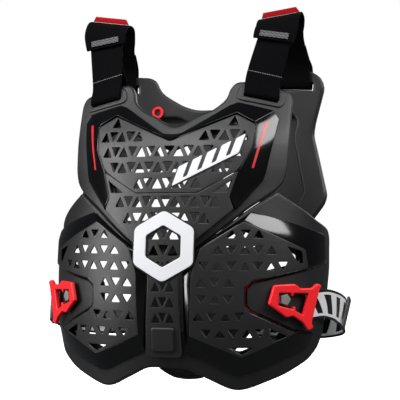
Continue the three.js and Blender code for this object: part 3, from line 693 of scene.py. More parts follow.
def add_node(tree: bpy.types.NodeTree, kind: str, settings: dict | None = None,
             links: dict | None = None) -> bpy.types.Node:
    """Add one node.

    Args:
        tree: The node tree.
        kind: The node's type name, without ShaderNode.
        settings: Values by property name, or by input name or number.
        links: Output sockets by input name or number.

    Returns:
        The new node.
    """
    node = tree.nodes.new(f"ShaderNode{kind}")
    for key, value in (settings or {}).items():
        if isinstance(key, str) and hasattr(node, key):
            setattr(node, key, value)
        else:
            node.inputs[key].default_value = value
    for key, source in (links or {}).items():
        tree.links.new(source, node.inputs[key])
    return node


def started(name: str) -> tuple[bpy.types.Material, bpy.types.NodeTree, bpy.types.Node]:
    """Start a material.

    Args:
        name: The material's name.

    Returns:
        The material, its node tree and its main shader.
    """
    material = bpy.data.materials.new(name)
    material.use_nodes = True
    tree = material.node_tree
    return material, tree, tree.nodes["Principled BSDF"]


@dataclass(frozen=True)
class Moulded:
    """A moulded surface: two close colours, its gloss, and the size and depth of its grain."""

    name: str
    colour: str
    shade: str
    roughness: float
    grain_mm: float
    depth_mm: float
    blotch_mm: float = 45.0
    specular: float = 0.5
    wave_mm: float = 0.0
    wave_depth_mm: float = 0.6
    gloss_spread: Pair = (0.9, 1.15)

    def material(self) -> bpy.types.Material:
        """Build the node material on Object coordinates.

        Returns:
            The material.
        """
        material, tree, shader = started(self.name)
        spot = add_node(tree, "TexCoord").outputs["Object"]
        blotch = add_node(tree, "TexNoise", {"Scale": 1 / (self.blotch_mm * MM), "Detail": 3.0},
                          {"Vector": spot})
        tone = add_node(tree, "Mix", {"data_type": "RGBA", 6: linear(self.colour), 7: linear(self.shade)},
                        {0: blotch.outputs["Fac"]})
        tree.links.new(tone.outputs[2], shader.inputs["Base Color"])
        gloss = add_node(tree, "MapRange", {"From Min": 0.3, "From Max": 0.7,
                                            "To Min": self.roughness * self.gloss_spread[0],
                                            "To Max": self.roughness * self.gloss_spread[1]},
                         {"Value": blotch.outputs["Fac"]})
        tree.links.new(gloss.outputs["Result"], shader.inputs["Roughness"])
        grain = add_node(tree, "TexNoise", {"Scale": 1 / (self.grain_mm * MM), "Detail": 2.0},
                         {"Vector": spot})
        bump = add_node(tree, "Bump", {"Strength": 0.7, "Distance": self.depth_mm * MM},
                        {"Height": grain.outputs["Fac"]})
        if self.wave_mm:
            swell = add_node(tree, "TexNoise", {"Scale": 1 / (self.wave_mm * MM), "Detail": 1.0},
                             {"Vector": spot})
            bump = add_node(tree, "Bump", {"Strength": 0.5, "Distance": self.wave_depth_mm * MM},
                            {"Height": swell.outputs["Fac"], "Normal": bump.outputs["Normal"]})
        tree.links.new(bump.outputs["Normal"], shader.inputs["Normal"])
        shader.inputs["Specular IOR Level"].default_value = self.specular
        return material


@dataclass(frozen=True)
class Woven:
    """Webbing on a UV map in metres: thread ribs, and a row of stitches across it."""

    name: str
    colour: str
    shade: str
    rib_mm: float
    depth_mm: float
    roughness: float = 0.85
    sheen: float = 0.25
    thread: str = "55565c"
    stitch_at_mm: float = -1.0
    specular: float = 0.06
    yarn_share: float = 1.3
    stitch_half_mm: float = 0.45
    stitch_long_mm: float = 1.6

    def material(self) -> bpy.types.Material:
        """Build the node material on the strip's UV map.

        Returns:
            The material.
        """
        material, tree, shader = started(self.name)
        spot = add_node(tree, "UVMap").outputs["UV"]
        ribs = []
        for way, size_mm in (("X", self.rib_mm), ("Y", self.rib_mm * self.yarn_share)):
            wave = add_node(tree, "TexWave", {"bands_direction": way,
                                              "Scale": WAVE_PERIOD / (size_mm * MM), "Distortion": 0.6},
                            {"Vector": spot})
            ribs.append(wave.outputs["Fac"])
        weave = add_node(tree, "Math", {"operation": "MULTIPLY"}, {0: ribs[0], 1: ribs[1]})
        tone = add_node(tree, "Mix", {"data_type": "RGBA", 6: linear(self.shade), 7: linear(self.colour)},
                        {0: weave.outputs[0]})
        colour = self.decorated(tree, spot, tone.outputs[2])
        tree.links.new(colour, shader.inputs["Base Color"])
        bump = add_node(tree, "Bump", {"Strength": 0.8, "Distance": self.depth_mm * MM},
                        {"Height": weave.outputs[0]})
        tree.links.new(bump.outputs["Normal"], shader.inputs["Normal"])
        shader.inputs["Roughness"].default_value = self.roughness
        shader.inputs["Specular IOR Level"].default_value = self.specular
        shader.inputs["Sheen Weight"].default_value = self.sheen
        shader.inputs["Sheen Roughness"].default_value = 0.4
        return material

    def decorated(self, tree: bpy.types.NodeTree, spot: bpy.types.NodeSocket,
                  colour: bpy.types.NodeSocket) -> bpy.types.NodeSocket:
        """Draw the stitches over the weave.

        Args:
            tree: The node tree.
            spot: The UV map's output.
            colour: The weave's colour.

        Returns:
            The socket of the finished colour.
        """
        if self.stitch_at_mm < 0:
            return colour
        part = add_node(tree, "SeparateXYZ", {}, {0: spot})
        line = add_node(tree, "Math",
                        {"operation": "COMPARE", 1: self.stitch_at_mm * MM, 2: self.stitch_half_mm * MM},
                        {0: part.outputs["X"]})
        dash = add_node(tree, "Math", {"operation": "PINGPONG", 1: self.stitch_long_mm * MM},
                        {0: part.outputs["Y"]})
        gate = add_node(tree, "Math", {"operation": "GREATER_THAN", 1: self.stitch_half_mm * MM},
                        {0: dash.outputs[0]})
        show = add_node(tree, "Math", {"operation": "MULTIPLY"}, {0: line.outputs[0], 1: gate.outputs[0]})
        mixed = add_node(tree, "Mix", {"data_type": "RGBA", 7: linear(self.thread)},
                         {0: show.outputs[0], 6: colour})
        return mixed.outputs[2]


@dataclass(frozen=True)
class PrintedWebbing(Woven):
    """White webbing with black edges and plain slanted black bars."""

    ink: str = "0c0c0e"
    wide_mm: float = 38.0
    edge_mm: float = 3.2
    bar_mm: float = 11.0
    gap_mm: float = 12.0
    lean: float = 0.55
    margin_mm: float = 3.5

    def decorated(self, tree: bpy.types.NodeTree, spot: bpy.types.NodeSocket,
                  colour: bpy.types.NodeSocket) -> bpy.types.NodeSocket:
        """Print the edges and bars over the weave.

        Args:
            tree: The node tree.
            spot: The UV map's output.
            colour: The weave's colour.

        Returns:
            The socket of the finished colour.
        """
        half_mm = self.wide_mm / 2
        part = add_node(tree, "SeparateXYZ", {}, {0: spot})
        side = add_node(tree, "Math", {"operation": "SUBTRACT", 1: half_mm * MM}, {0: part.outputs["Y"]})
        away = add_node(tree, "Math", {"operation": "ABSOLUTE"}, {0: side.outputs[0]})
        rim = add_node(tree, "Math", {"operation": "GREATER_THAN", 1: (half_mm - self.edge_mm) * MM},
                       {0: away.outputs[0]})
        lean = add_node(tree, "Math", {"operation": "MULTIPLY_ADD", 1: self.lean},
                        {0: part.outputs["Y"], 2: part.outputs["X"]})
        repeat = add_node(tree, "Math", {"operation": "MODULO", 1: (self.bar_mm + self.gap_mm) * MM},
                          {0: lean.outputs[0]})
        bar = add_node(tree, "Math", {"operation": "LESS_THAN", 1: self.bar_mm * MM},
                       {0: repeat.outputs[0]})
        inside = add_node(tree, "Math",
                          {"operation": "LESS_THAN", 1: (half_mm - self.edge_mm - self.margin_mm) * MM},
                          {0: away.outputs[0]})
        drawn = add_node(tree, "Math", {"operation": "MULTIPLY"}, {0: bar.outputs[0], 1: inside.outputs[0]})
        black = add_node(tree, "Math", {"operation": "MAXIMUM"}, {0: drawn.outputs[0], 1: rim.outputs[0]})
        mixed = add_node(tree, "Mix", {"data_type": "RGBA", 7: linear(self.ink)},
                         {0: black.outputs[0], 6: colour})
        return mixed.outputs[2]


@dataclass(frozen=True)
class ZigzagRubber:
    """Silicone printed on webbing in zigzag lines, drawn coarse enough to show, on a UV map in metres."""

    name: str
    colour: str
    ground: str
    tooth_mm: float = 6.0
    line_mm: float = 4.4
    depth_mm: float = 0.3

    def material(self) -> bpy.types.Material:
        """Build the node material on the strip's UV map.

        Returns:
            The material.
        """
        material, tree, shader = started(self.name)
        spot = add_node(tree, "UVMap").outputs["UV"]
        part = add_node(tree, "SeparateXYZ", {}, {0: spot})
        tooth = add_node(tree, "Math", {"operation": "PINGPONG", 1: self.tooth_mm / 2 * MM},
                         {0: part.outputs["Y"]})
        along = add_node(tree, "Math", {"operation": "ADD"}, {0: part.outputs["X"], 1: tooth.outputs[0]})
        repeat = add_node(tree, "Math", {"operation": "PINGPONG", 1: self.line_mm / 2 * MM},
                          {0: along.outputs[0]})
        line = add_node(tree, "Math", {"operation": "GREATER_THAN", 1: self.line_mm / 4 * MM},
                        {0: repeat.outputs[0]})
        tone = add_node(tree, "Mix",
                        {"data_type": "RGBA", 6: linear(self.ground), 7: linear(self.colour)},
                        {0: line.outputs[0]})
        tree.links.new(tone.outputs[2], shader.inputs["Base Color"])
        bump = add_node(tree, "Bump", {"Strength": 0.8, "Distance": self.depth_mm * MM},
                        {"Height": line.outputs[0]})
        tree.links.new(bump.outputs["Normal"], shader.inputs["Normal"])
        shader.inputs["Roughness"].default_value = 0.5
        return material


# Closed-cell EVA with a pressed skin: a soft satin sheen and fine pebbles
EVA_FOAM = Moulded("EVA_foam_compression_moulded", "1b1b1c", "141415", 0.44, 1.1, 0.06, 60.0, 0.45)
# Polypropylene from a polished tool: deep black and mirror-like, a little wavy
GLOSS_SHELL = Moulded("polypropylene_polished_moulding", "050506", "030304", 0.13, 2.5, 0.006, 80.0, 0.5,
                      55.0)
# Polypropylene from a spark-eroded tool: an even fine grain that spreads the light
GRAINED_SHELL = Moulded("polypropylene_grained_moulding", "1d1d1e", "161617", 0.42, 0.9, 0.05, 70.0)
# Nylon webbing, dyed black: ribs of close threads with a faint sheen
BLACK_WEB = Woven("nylon_webbing_woven_black", "08080b", "020203", 1.8, 0.35, 0.9, 0.01)
STITCHED_WEB = Woven("nylon_webbing_woven_stitched", "08080b", "020203", 1.8, 0.35, 0.9, 0.01,
                     "6a6a70", 110.0)
# Polyester tape, dyed red
RED_TAPE = Woven("polyester_tape_woven_red", "e0222a", "a81218", 1.4, 0.3)
# Acetal with a satin tool finish, coloured through
RED_ACETAL = Moulded("acetal_satin_moulding_red", "fa272d", "ee1f25", 0.36, 0.8, 0.03, 30.0, 0.4)
GREY_ACETAL = Moulded("acetal_grained_moulding_grey", "83837e", "6f6f6b", 0.6, 0.9, 0.12, 10.0)
BLACK_ACETAL = Moulded("acetal_satin_moulding_black", "141416", "0e0e10", 0.38, 0.8, 0.04, 30.0)
# Thermoplastic polyurethane badge, semi-gloss white
WHITE_BADGE = Moulded("polyurethane_satin_badge_white", "dadadd", "d2d2d5", 0.4, 1.2, 0.02, 40.0, 0.35)
RED_PRINT = Moulded("screen_ink_satin_red", "c8262e", "b81f27", 0.3, 0.8, 0.01, 20.0)
SIDE_WEB = PrintedWebbing("polyester_webbing_printed_white", "fafafc", "e2e2e6", 1.4, 0.3)
GRIP_PRINT = ZigzagRubber("silicone_zigzag_print_grey", "47474a", "0a0a0b")


Finish = Moulded | Woven | ZigzagRubber


@cache
def material_of(finish: Finish) -> bpy.types.Material:
    """Build a finish's material once."""
    return finish.material()


def dressed(obj: bpy.types.Object, finish: Finish) -> bpy.types.Object:
    """Give a whole mesh one finish.

    Args:
        obj: The mesh object.
        finish: The finish.

    Returns:
        The same object.
    """
    obj.data.materials.clear()
    obj.data.materials.append(material_of(finish))
    return obj


def handed_in(obj: bpy.types.Object, name: str, slot: str, *nodes: str) -> None:
    """Name a finished piece, tie it to the frame and hide the CAD nodes that it replaces.

    Args:
        obj: The piece.
        name: Its name.
        slot: The record's material slot; not used.
        *nodes: The CAD nodes that it replaces.
    """
    obj.name = name
    obj.data.name = name
    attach(obj, "root")
    if nodes:
        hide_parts(*nodes)
    LOG.info("%s: %d faces", name, len(obj.data.polygons))


# ---- front pads


@dataclass
class FrontPads:
    """The chest and belly foam frames with their strap slots."""

    top: float = -8.6
    thick: float = 10.0
    edge: float = 3.6
    edge_steps: int = 3
    ring_rise: float = 2.0
    ring_sink: float = 3.0
    ring_edge: float = 1.5
    chest_edge: tuple = (
        (0, 131), (11, 135), (30, 146), (50, 154), (66, 168), (69, 182), (77, 190.5), (88, 191.5),
        (148, 179.5), (160, 175), (165.5, 166), (167, 110), (166, 68), (161, 52), (149, 41.5),
        (111, 19.5), (36, -37), (0, -44),
    )
    chest_opening: tuple = (
        (0, 97), (80, 132), (102, 121), (100, 96), (88, 68), (78, 34), (82, 18), (36, -19), (0, -25),
    )
    belly_edge: tuple = (
        (0, -44.5), (36.3, -37.4), (111.4, 19.1), (150.2, 41.2), (158, 36), (222, 4), (256, -8),
        (265, -20), (267, -62), (252, -110), (240, -146), (226, -165), (204, -181), (162, -199),
        (110, -216), (96, -218.5), (82, -216), (48, -200), (28, -190), (0, -189),
    )
    belly_middle: tuple = ((0, -52), (31, -52), (25, -138), (0, -138))
    belly_side: tuple = (
        (101, -8), (176, -38), (188, -42), (188, -52), (112, -66), (98, -79), (98, -110),
        (106, -121), (160, -145), (100, -168), (42, -144), (44, -64), (54, -38),
    )
    slot: tuple = ((90, 170.3), (140, 160.7), (141.4, 169.2), (91.6, 178.3))
    slot_ring: tuple = (
        (79, 169.5), (84, 165), (144.5, 153.5), (151, 158), (152.5, 168), (148, 175), (89, 186),
        (81, 181.5),
    )

    def chest(self) -> bpy.types.Object:
        """Model the chest foam with a raised lip round each strap slot.

        Returns:
            The finished piece.
        """
        slots = [sided(self.slot, side) for side in Side]
        parts = [FlatPanel(
            softened(whole(self.chest_edge), 6), self.top - self.thick, self.top, self.edge,
            [softened(whole(self.chest_opening), 5), *slots], self.edge_steps,
        ).build(BODY.front)]
        for side, slot in zip(Side, slots):
            ring = softened(sided(self.slot_ring, side), 6)
            parts.append(FlatPanel(ring, self.top - self.ring_sink, self.top + self.ring_rise,
                                   self.ring_edge, [slot], self.edge_steps).build(BODY.front))
        return dressed(joined(parts), EVA_FOAM)

    def belly(self) -> bpy.types.Object:
        """Model the belly foam with its three openings.

        Returns:
            The finished piece.
        """
        holes = [softened(whole(self.belly_middle), 4)]
        holes += [softened(sided(self.belly_side, side), 5) for side in Side]
        panel = FlatPanel(softened(whole(self.belly_edge), 7), self.top - self.thick, self.top,
                          self.edge, holes, self.edge_steps)
        return dressed(panel.build(BODY.front), EVA_FOAM)

    def build(self) -> None:
        """Make both pads and hand them in."""
        for obj, name, node in ((self.chest(), "chest_foam_pad", "chest_foam"),
                                (self.belly(), "belly_foam_pad", "belly_foam")):
            handed_in(obj, name, "foam", node)


# ---- chest shells


@dataclass
class ChestShells:
    """The gloss collar band, the two pierced chest plates and the red side stripes."""

    thick: float = 2.4
    drop: float = 5.4
    band: tuple = (
        (0, 116, 0, 106.2), (13, 117, 11, 111), (73, 155, 76, 138.7), (84, 159, 84, 142.2),
        (137, 147, 109.6, 129.4), (145, 137, 112.7, 127.8), (140, 106, 109.7, 96),
        (132, 66, 94, 67), (128, 54, 83.2, 32.4), (93.5, 16.5, 91, 19),
    )
    upper_edge: tuple = (
        (0, 105.4), (84, 141.4), (112, 127.4), (109, 96), (95, 71), (89, 65), (41.6, 38), (0, 38),
    )
    sternum_edge: tuple = (
        (0, 37.3), (42, 37.3), (89.6, 64.4), (92.8, 64.6), (82.6, 32.4), (88.8, 16.5), (33.5, -29),
        (20.7, -40), (20.7, -80), (24.4, -168), (21, -173), (0, -173),
    )
    # The band's row at which the collar meets the side panels
    parting: int = 4
    side_hole: tuple = ((86, 54.5), (80.5, 38.5), (61, 38.5))
    edge: float = 0.7
    plinth: tuple = ((15, -134), (15, -165))
    plinth_sink: float = 1.0
    plinth_rise: float = 3.4
    plinth_edge: float = 1.9
    stripe_top: Pair = (127.8, 131.7)
    stripe_foot: Pair = (112.2, 69.8)
    stripe_wide: float = 5.0
    stripe_taper: float = 0.4
    stripe_thick: float = 0.3
    upper_holes: HolePattern = HolePattern(14.2, 13.6, 13, (
        HoleRow(133, 82, 1, True, True), HoleRow(113.5, 45.5, 5, True, True), HoleRow(92.5, -91, 15, True),
        HoleRow(71.5, -78, 13, False), HoleRow(50.5, -39, 7, True),
    ))
    lower_holes: HolePattern = HolePattern(14.2, 13.6, 13, (
        HoleRow(26.5, -65, 11, True), HoleRow(5.5, -52, 9, True), HoleRow(-15, -26, 5, False),
        HoleRow(-36, -13, 3, True),
    ))
    strip_holes: HolePattern = HolePattern(12, 13, 9.6, (
        HoleRow(-57, -9.6, 3, False), HoleRow(-82, -9.6, 3, True), HoleRow(-102, -9.6, 3, True),
        HoleRow(-122, -9.6, 3, True),
    ))

    def stations(self) -> list[Station]:
        """List the band's sections from the right foot over the middle to the left foot."""
        rows = [(-r[0], r[1], -r[2], r[3]) for r in reversed(self.band[1:])] + list(self.band)
        return [Station(*row, -self.drop, 0.0) for row in rows]

    def stripe(self, band: bpy.types.Object, side: Side) -> bpy.types.Object:
        """Model one stripe of thin red film laid onto the gloss side panel.

        Args:
            band: The gloss band that it lies on.
            side: The side of the body.

        Returns:
            The stripe.
        """
        obj, share = gridded(30, 3)
        spine = np.outer(1 - share[:, 0], self.stripe_top) + np.outer(share[:, 0], self.stripe_foot)
        off = (share[:, 1] - 0.5) * self.stripe_wide * (1 - self.stripe_taper * share[:, 0])
        spot = BODY.front((spine[:, 0] + off) * side.value, spine[:, 1], np.zeros(len(off)))
        set_corners(obj, BODY.settle(spot))
        modify(obj, "SHRINKWRAP", target=band, wrap_mode="ABOVE_SURFACE", offset=self.stripe_thick * MM)
        modify(obj, "SOLIDIFY", thickness=self.stripe_thick * MM, offset=0.0)
        face_outwards(obj)
        even_shading(obj, 32)
        return dressed(obj, RED_PRINT)

    def build(self) -> None:
        """Make the shells and hand them in."""
        rows, last = self.stations(), len(self.band) - 1
        cuts = (0, last - self.parting, last + self.parting, len(rows) - 1)
        band = joined([dressed(Band(rows[a:b + 1]).build(), GLOSS_SHELL) for a, b in zip(cuts, cuts[1:])])
        handed_in(band, "chest_gloss_band", "gloss_shell", "chest_shell")
        for side in Side:
            handed_in(self.stripe(band, side), f"red_stripe_{side.word}", "red_plastic")
        upper = FlatPanel(softened(whole(self.upper_edge), 3), -self.thick, 0.0, self.edge,
                          self.upper_holes.holes())
        handed_in(dressed(upper.build(BODY.front), GRAINED_SHELL), "upper_lattice", "matte_shell",
                  "upper_plate")
        holes = self.lower_holes.holes() + self.strip_holes.holes()
        holes += [softened(sided(self.side_hole, side), 1.6) for side in Side]
        sternum = FlatPanel(softened(whole(self.sternum_edge), 2.5), -self.thick, 0.0, self.edge, holes)
        foot = FlatPanel(softened(whole(self.plinth), 3.0), -self.plinth_sink, self.plinth_rise,
                         self.plinth_edge, edge_steps=2)
        parts = [dressed(part.build(BODY.front), GRAINED_SHELL) for part in (sternum, foot)]
        handed_in(joined(parts), "sternum_lattice", "matte_shell", "sternum_plate")


# ---- rib shells


@dataclass
class RibShell:
    """One rib shell: gloss border, pierced face and the pocket that the clip lies in."""

    side: Side
    thick: float = 2.4
    drop: float = 5.4
    edge: float = 0.7
    floor: float = -4.8
    floor_low: float = -7.6
    floor_edge: float = 0.5
    # How far the pocket's wall sinks under the shells that it joins
    sink: float = 0.2
    border: tuple = (
        (210.9, -147, 176, -143), (197, -165, 160, -149), (100, -195.5, 100.5, -173),
        (88, -193, 88, -168), (27.5, -165.5, 34, -145), (25, -80, 37, -66), (25.5, -48, 48, -34),
        (37.5, -34.8, 52, -31), (114, 14.5, 102.5, 1), (238, -17, 192, -36), (242.2, -52.5, 197, -59),
    )
    face: tuple = (
        (102.5, 1), (192, -36), (197, -59), (194, -59.5), (115, -74), (105, -82.5), (105, -107),
        (112, -115.5), (175, -142.5), (176, -143), (160, -149), (100.5, -173), (88, -168),
        (34, -145), (37, -66), (48, -34), (52, -31),
    )
    pocket: tuple = (
        (242.2, -52.5, 241.5, -56.5, -4.9), (194, -59.5, 194.5, -64, 0.0), (115, -74, 119, -78.2, 0.0),
        (105, -82.5, 110.5, -85.2, 0.0), (105, -107, 110.5, -105, 0.0),
        (112, -115.5, 115, -111, 0.0), (175, -142.5, 176.5, -138, 0.0),
        (210.9, -147, 211.5, -142.8, -4.9),
    )
    pocket_floor: tuple = (
        (242.4, -54), (194, -59.5), (114, -74), (104.5, -82.5), (104.5, -107.3), (111.5, -116.2),
        (175, -143.2), (212, -146.5), (214, -143), (243, -60),
    )
    holes: HolePattern = HolePattern(14.2, 10.6, 17.4, (
        HoleRow(-15, 88, 3, True), HoleRow(-35.5, 70.6, 5, True), HoleRow(-56, 53.2, 7, False),
        HoleRow(-77, 50, 3, True), HoleRow(-98, 50, 3, False), HoleRow(-120, 46, 4, True),
        HoleRow(-141.5, 56, 5, False),
    ))
    odd_holes: tuple = (
        ((163, -31), (186, -38), (188, -54), (180, -52)),
        ((137, -135), (163, -146.5), (142, -153)),
        ((84, -160), (117, -160), (100.5, -169)),
    )

    def build(self) -> None:
        """Make the shell and hand it in."""
        rim = Band([Station(*row, -self.drop, 0.0) for row in self.border])
        parts = [dressed(rim.build(self.side), GLOSS_SHELL)]
        holes = self.holes.holes(self.side)
        holes += [softened(sided(hole, self.side), 1.8) for hole in self.odd_holes]
        face = FlatPanel(sided(self.face, self.side), -self.thick, 0.0, self.edge, holes)
        parts.append(dressed(face.build(BODY.front), GRAINED_SHELL))
        walls = [Station(ow, oh, iw, ih, rise - self.sink, self.floor - self.sink)
                 for ow, oh, iw, ih, rise in self.pocket]
        wall = Band(walls, thick=1.2, crown=0.0, pitch=6.0, rows=3, edge=0.3)
        parts.append(dressed(wall.build(self.side), GLOSS_SHELL))
        floor = FlatPanel(softened(sided(self.pocket_floor, self.side), 3), self.floor_low, self.floor,
                          self.floor_edge)
        parts.append(dressed(floor.build(BODY.front), GRAINED_SHELL))
        handed_in(joined(parts), f"rib_lattice_{self.side.word}", "gloss_shell",
                  f"rib_shell_{self.side.word}")


# ---- back panel


@dataclass
class BackPanel:
    """The padded back frame, its pierced shell with a raised spine, and two eyelets."""

    foam_top: float = -1.8
    foam_thick: float = 10.0
    foam_edge: float = 3.6
    shell_thick: float = 2.4
    shell_edge_radius: float = 0.8
    edge: tuple = (
        (0, 160.5), (15, 161), (33, 166.5), (55, 179), (68, 188), (77, 206), (87, 210.5), (150, 214),
        (169, 203), (175, 188), (162, 137), (160, 121), (182, 36), (179, 24), (164, 3), (104, -60),
        (92, -90), (86, -150), (40, -204), (20, -214), (0, -216),
    )
    shell_edge: tuple = (
        (0, 145), (26, 147), (62, 166), (146, 168), (154, 158), (146, 122), (166, 40), (160, 20),
        (94, -52), (78, -90), (73, -146), (34, -192), (0, -198),
    )
    opening: tuple = (
        (9, 133), (40, 150), (130, 150), (136, 140), (130, 118), (148, 40), (142, 28), (82, -38),
        (9, -38),
    )
    slot: tuple = ((103, 188), (158, 184), (158.6, 193), (103.6, 197))
    spine: tuple = ((15, 120), (15, -176))
    spine_low: float = 1.0
    spine_rise: float = 5.0
    spine_edge: float = 2.6
    holes: HolePattern = HolePattern(36, 31, 30, (
        HoleRow(106, 36, 3, True, True), HoleRow(62, 36, 3, False, True), HoleRow(18, 36, 3, True, True),
        HoleRow(-26, 36, 2, False, True),
    ), 3.0)
    eyelet_at: Pair = (72.0, 158.0)
    eyelet_radii: Pair = (8.6, 4.8)
    # How far the eyelet stands under the foam: its far and its near face
    eyelet_drop: Pair = (2.5, 0.9)
    eyelet_edge: float = 0.7

    def build(self) -> None:
        """Make the back's pieces and hand them in."""
        low = self.foam_top - self.foam_thick
        holes = [softened(sided(self.opening, side), 5) for side in Side]
        holes += [sided(self.slot, side) for side in Side]
        foam = FlatPanel(softened(whole(self.edge), 7), low, self.foam_top, self.foam_edge, holes, 3)
        obj = dressed(foam.build(BODY.back), EVA_FOAM)
        handed_in(obj, "back_foam_pad", "foam", "back_foam")
        shell = FlatPanel(softened(whole(self.shell_edge), 5), 0.0, self.shell_thick,
                          self.shell_edge_radius, self.holes.holes())
        ridge = FlatPanel(softened(whole(self.spine), 3), self.spine_low,
                          self.shell_thick + self.spine_rise, self.spine_edge, edge_steps=2)
        parts = [dressed(part.build(BODY.back), GRAINED_SHELL) for part in (shell, ridge)]
        handed_in(joined(parts), "back_lattice", "matte_shell", "back_shell")
        wide, high = self.eyelet_at
        far, near = self.eyelet_drop
        for side in Side:
            rims = [[(-side.value * wide + r * math.cos(a), high + r * math.sin(a))
                     for a in np.linspace(0, 2 * math.pi, 33)[:-1]] for r in self.eyelet_radii]
            ring = FlatPanel(rims[0], low - far, low - near, self.eyelet_edge, [rims[1]], 2)
            handed_in(dressed(ring.build(BODY.back), RED_ACETAL), f"collar_eyelet_{side.word}",
                      "red_plastic", f"collar_ring_{side.word}")


# ---- shoulder straps


@dataclass(frozen=True)
class Fold:
    """How a web folds through its slot: the slot, the way across there, and the runs on both sides.

    near and far are the rises off the body of the running side and of the folded end. end_share and
    end_lift place the folded end over the run to the crown, and shares place the run's own sections.
    """

    low: float
    high: float
    wide: float
    azimuth: float
    droop: float
    near: float
    far: float
    end_share: float
    end_lift: float
    shares: tuple[float, ...]


@dataclass
class ShoulderStraps:
    """One shoulder's front web, back web with its broad saddle end, pull tab and grip patch."""

    side: Side
    wide: float = 47.0
    thick: float = 2.2
    gap: float = 0.6
    bow: float = 1.8
    crown_depth: float = 181.0
    crown_high: float = 252.0
    crown_radius: float = 29.6
    crown_lean: float = 24.0
    crown_wide: float = 123.0
    crown_gap: float = 2.7
    crown_droop: float = 8.0
    saddle: float = 60.0
    saddle_aim: Pair = (116.0, 192.0)
    saddle_step: float = 11.0
    foam_top: float = -8.6
    foam_low: float = -18.6
    ring_rise: float = 2.0
    back_top: float = -1.8
    back_low: float = -11.8
    back_gap: float = 1.0
    # The run's start above the slot, the folded end's gap over it, and how far a fold turns in
    ear_rise: float = 4.0
    end_gap: float = 1.4
    fold_turn: float = 2.4
    # Each slot's low and high edge and middle, and the web's azimuth and droop in it
    front_slot: tuple = (168.5, 188.0, 115.0, 12.0, -12.0)
    back_slot: tuple = (188.6, 216.0, 130.8, -6.0, -4.0)
    # Degrees over the crown at which the webs have sections
    front_turns: tuple = (38, 52, 66, 80, 94, 108)
    back_turns: tuple = (156, 141, 126, 111, 96, 81, 66, 52, 38)
    tab_turn: float = 84.0
    tab_gap: float = 0.35
    tab_rise: float = 7.0
    tab_thick: float = 1.6
    tab_widths: Pair = (54.0, 46.0)
    patch_at: Pair = (-12.0, -3.0)
    patch_wide: float = 40.0
    patch_thick: float = 0.8
    patch_gap: float = 1.2

    def crown(self, radius: float, degrees: float) -> Vector:
        """Give a point over the shoulder at a radius and an angle from the front.

        Args:
            radius: The distance from the crown's middle, in millimetres.
            degrees: The angle from the front.

        Returns:
            The point, in millimetres.
        """
        turn = math.radians(degrees)
        return Vector((self.side.value * self.crown_wide, self.crown_depth - radius * math.cos(turn),
                       self.crown_high + radius * math.sin(turn)))

    def across(self, azimuth: float, droop: float) -> Vector:
        """Give the way across a strap, turned and drooped by degrees.

        Args:
            azimuth: The turn seen from above.
            droop: The rise to the outside.

        Returns:
            The way, one long.
        """
        turn, fall = math.radians(azimuth), math.radians(droop)
        sign = self.side.value
        return Vector((math.cos(turn), sign * math.sin(turn), sign * math.sin(fall))).normalized()

    def saddle_end(self) -> tuple[Vector, Vector, Vector]:
        """Give the saddle's last two middles and its direction along the front web.

        Returns:
            The bend's middle, the tip's middle and the direction.
        """
        start = self.crown(self.crown_radius, self.crown_lean)
        rise = self.foam_top + self.ring_rise + self.thick / 2 + self.gap
        ear = BODY.front_point(self.saddle_aim[0] * self.side.value, self.saddle_aim[1], rise)
        inside = self.crown(self.crown_radius - self.thick - self.crown_gap, self.crown_lean)
        along = (ear - inside).normalized()
        return start + along * self.saddle_step, start + along * 2 * self.saddle_step, along

    def folded(self, fold: Fold, point: Callable[[float, float, float], Vector],
               crown: Vector) -> list[Section]:
        """List a web's sections from its folded end through its slot and up to the crown.

        Args:
            fold: The slot and how the web passes it.
            point: Gives a raised point of the body's front or back.
            crown: Where the run up to the crown ends.

        Returns:
            The sections.
        """
        wide = fold.wide * self.side.value
        ear = point(wide, fold.high + self.ear_rise, fold.near)

        def leg(share: float, lift: float) -> Section:
            """Give a section on the straight run up to the crown.

            Args:
                share: Its share of the run.
                lift: How far it is moved back.

            Returns:
                The section.
            """
            droop = fold.droop + (self.crown_droop - fold.droop) * share
            way = self.across(fold.azimuth - fold.azimuth * share, droop)
            return Section(ear.lerp(crown, share) + Vector((0, lift, 0)), way, self.wide)

        rows = [leg(fold.end_share, self.thick + self.end_gap), leg(0.2, fold.end_lift)]
        turn_in = math.copysign(self.fold_turn, fold.near - fold.far)
        for height, rise in ((fold.high + 2, fold.far), (fold.low + 2.5, fold.far),
                             (fold.low, fold.far + turn_in), (fold.low, fold.near - turn_in),
                             (fold.low + 2.5, fold.near), (fold.high, fold.near)):
            way = self.across(fold.azimuth, fold.droop)
            rows.append(Section(point(wide, height, rise), way, self.wide))
        return rows + [leg(share, 0) for share in fold.shares]

    def front_sections(self) -> list[Section]:
        """List the front web's sections from its folded end through the slot to the crown.

        Returns:
            The sections, in order.
        """
        near = self.foam_top + self.ring_rise + self.thick / 2 + self.gap
        far = self.foam_low - self.thick / 2 - self.gap - self.bow
        radius = self.crown_radius - self.thick - self.crown_gap
        rows = self.folded(Fold(*self.front_slot, near, far, 0.36, 7.0, (0.2, 0.5, 0.8)),
                           BODY.front_point, self.crown(radius, self.crown_lean))
        for degrees in (self.crown_lean, *self.front_turns):
            rows.append(Section(self.crown(radius, degrees), self.across(0, self.crown_droop), self.wide))
        return rows

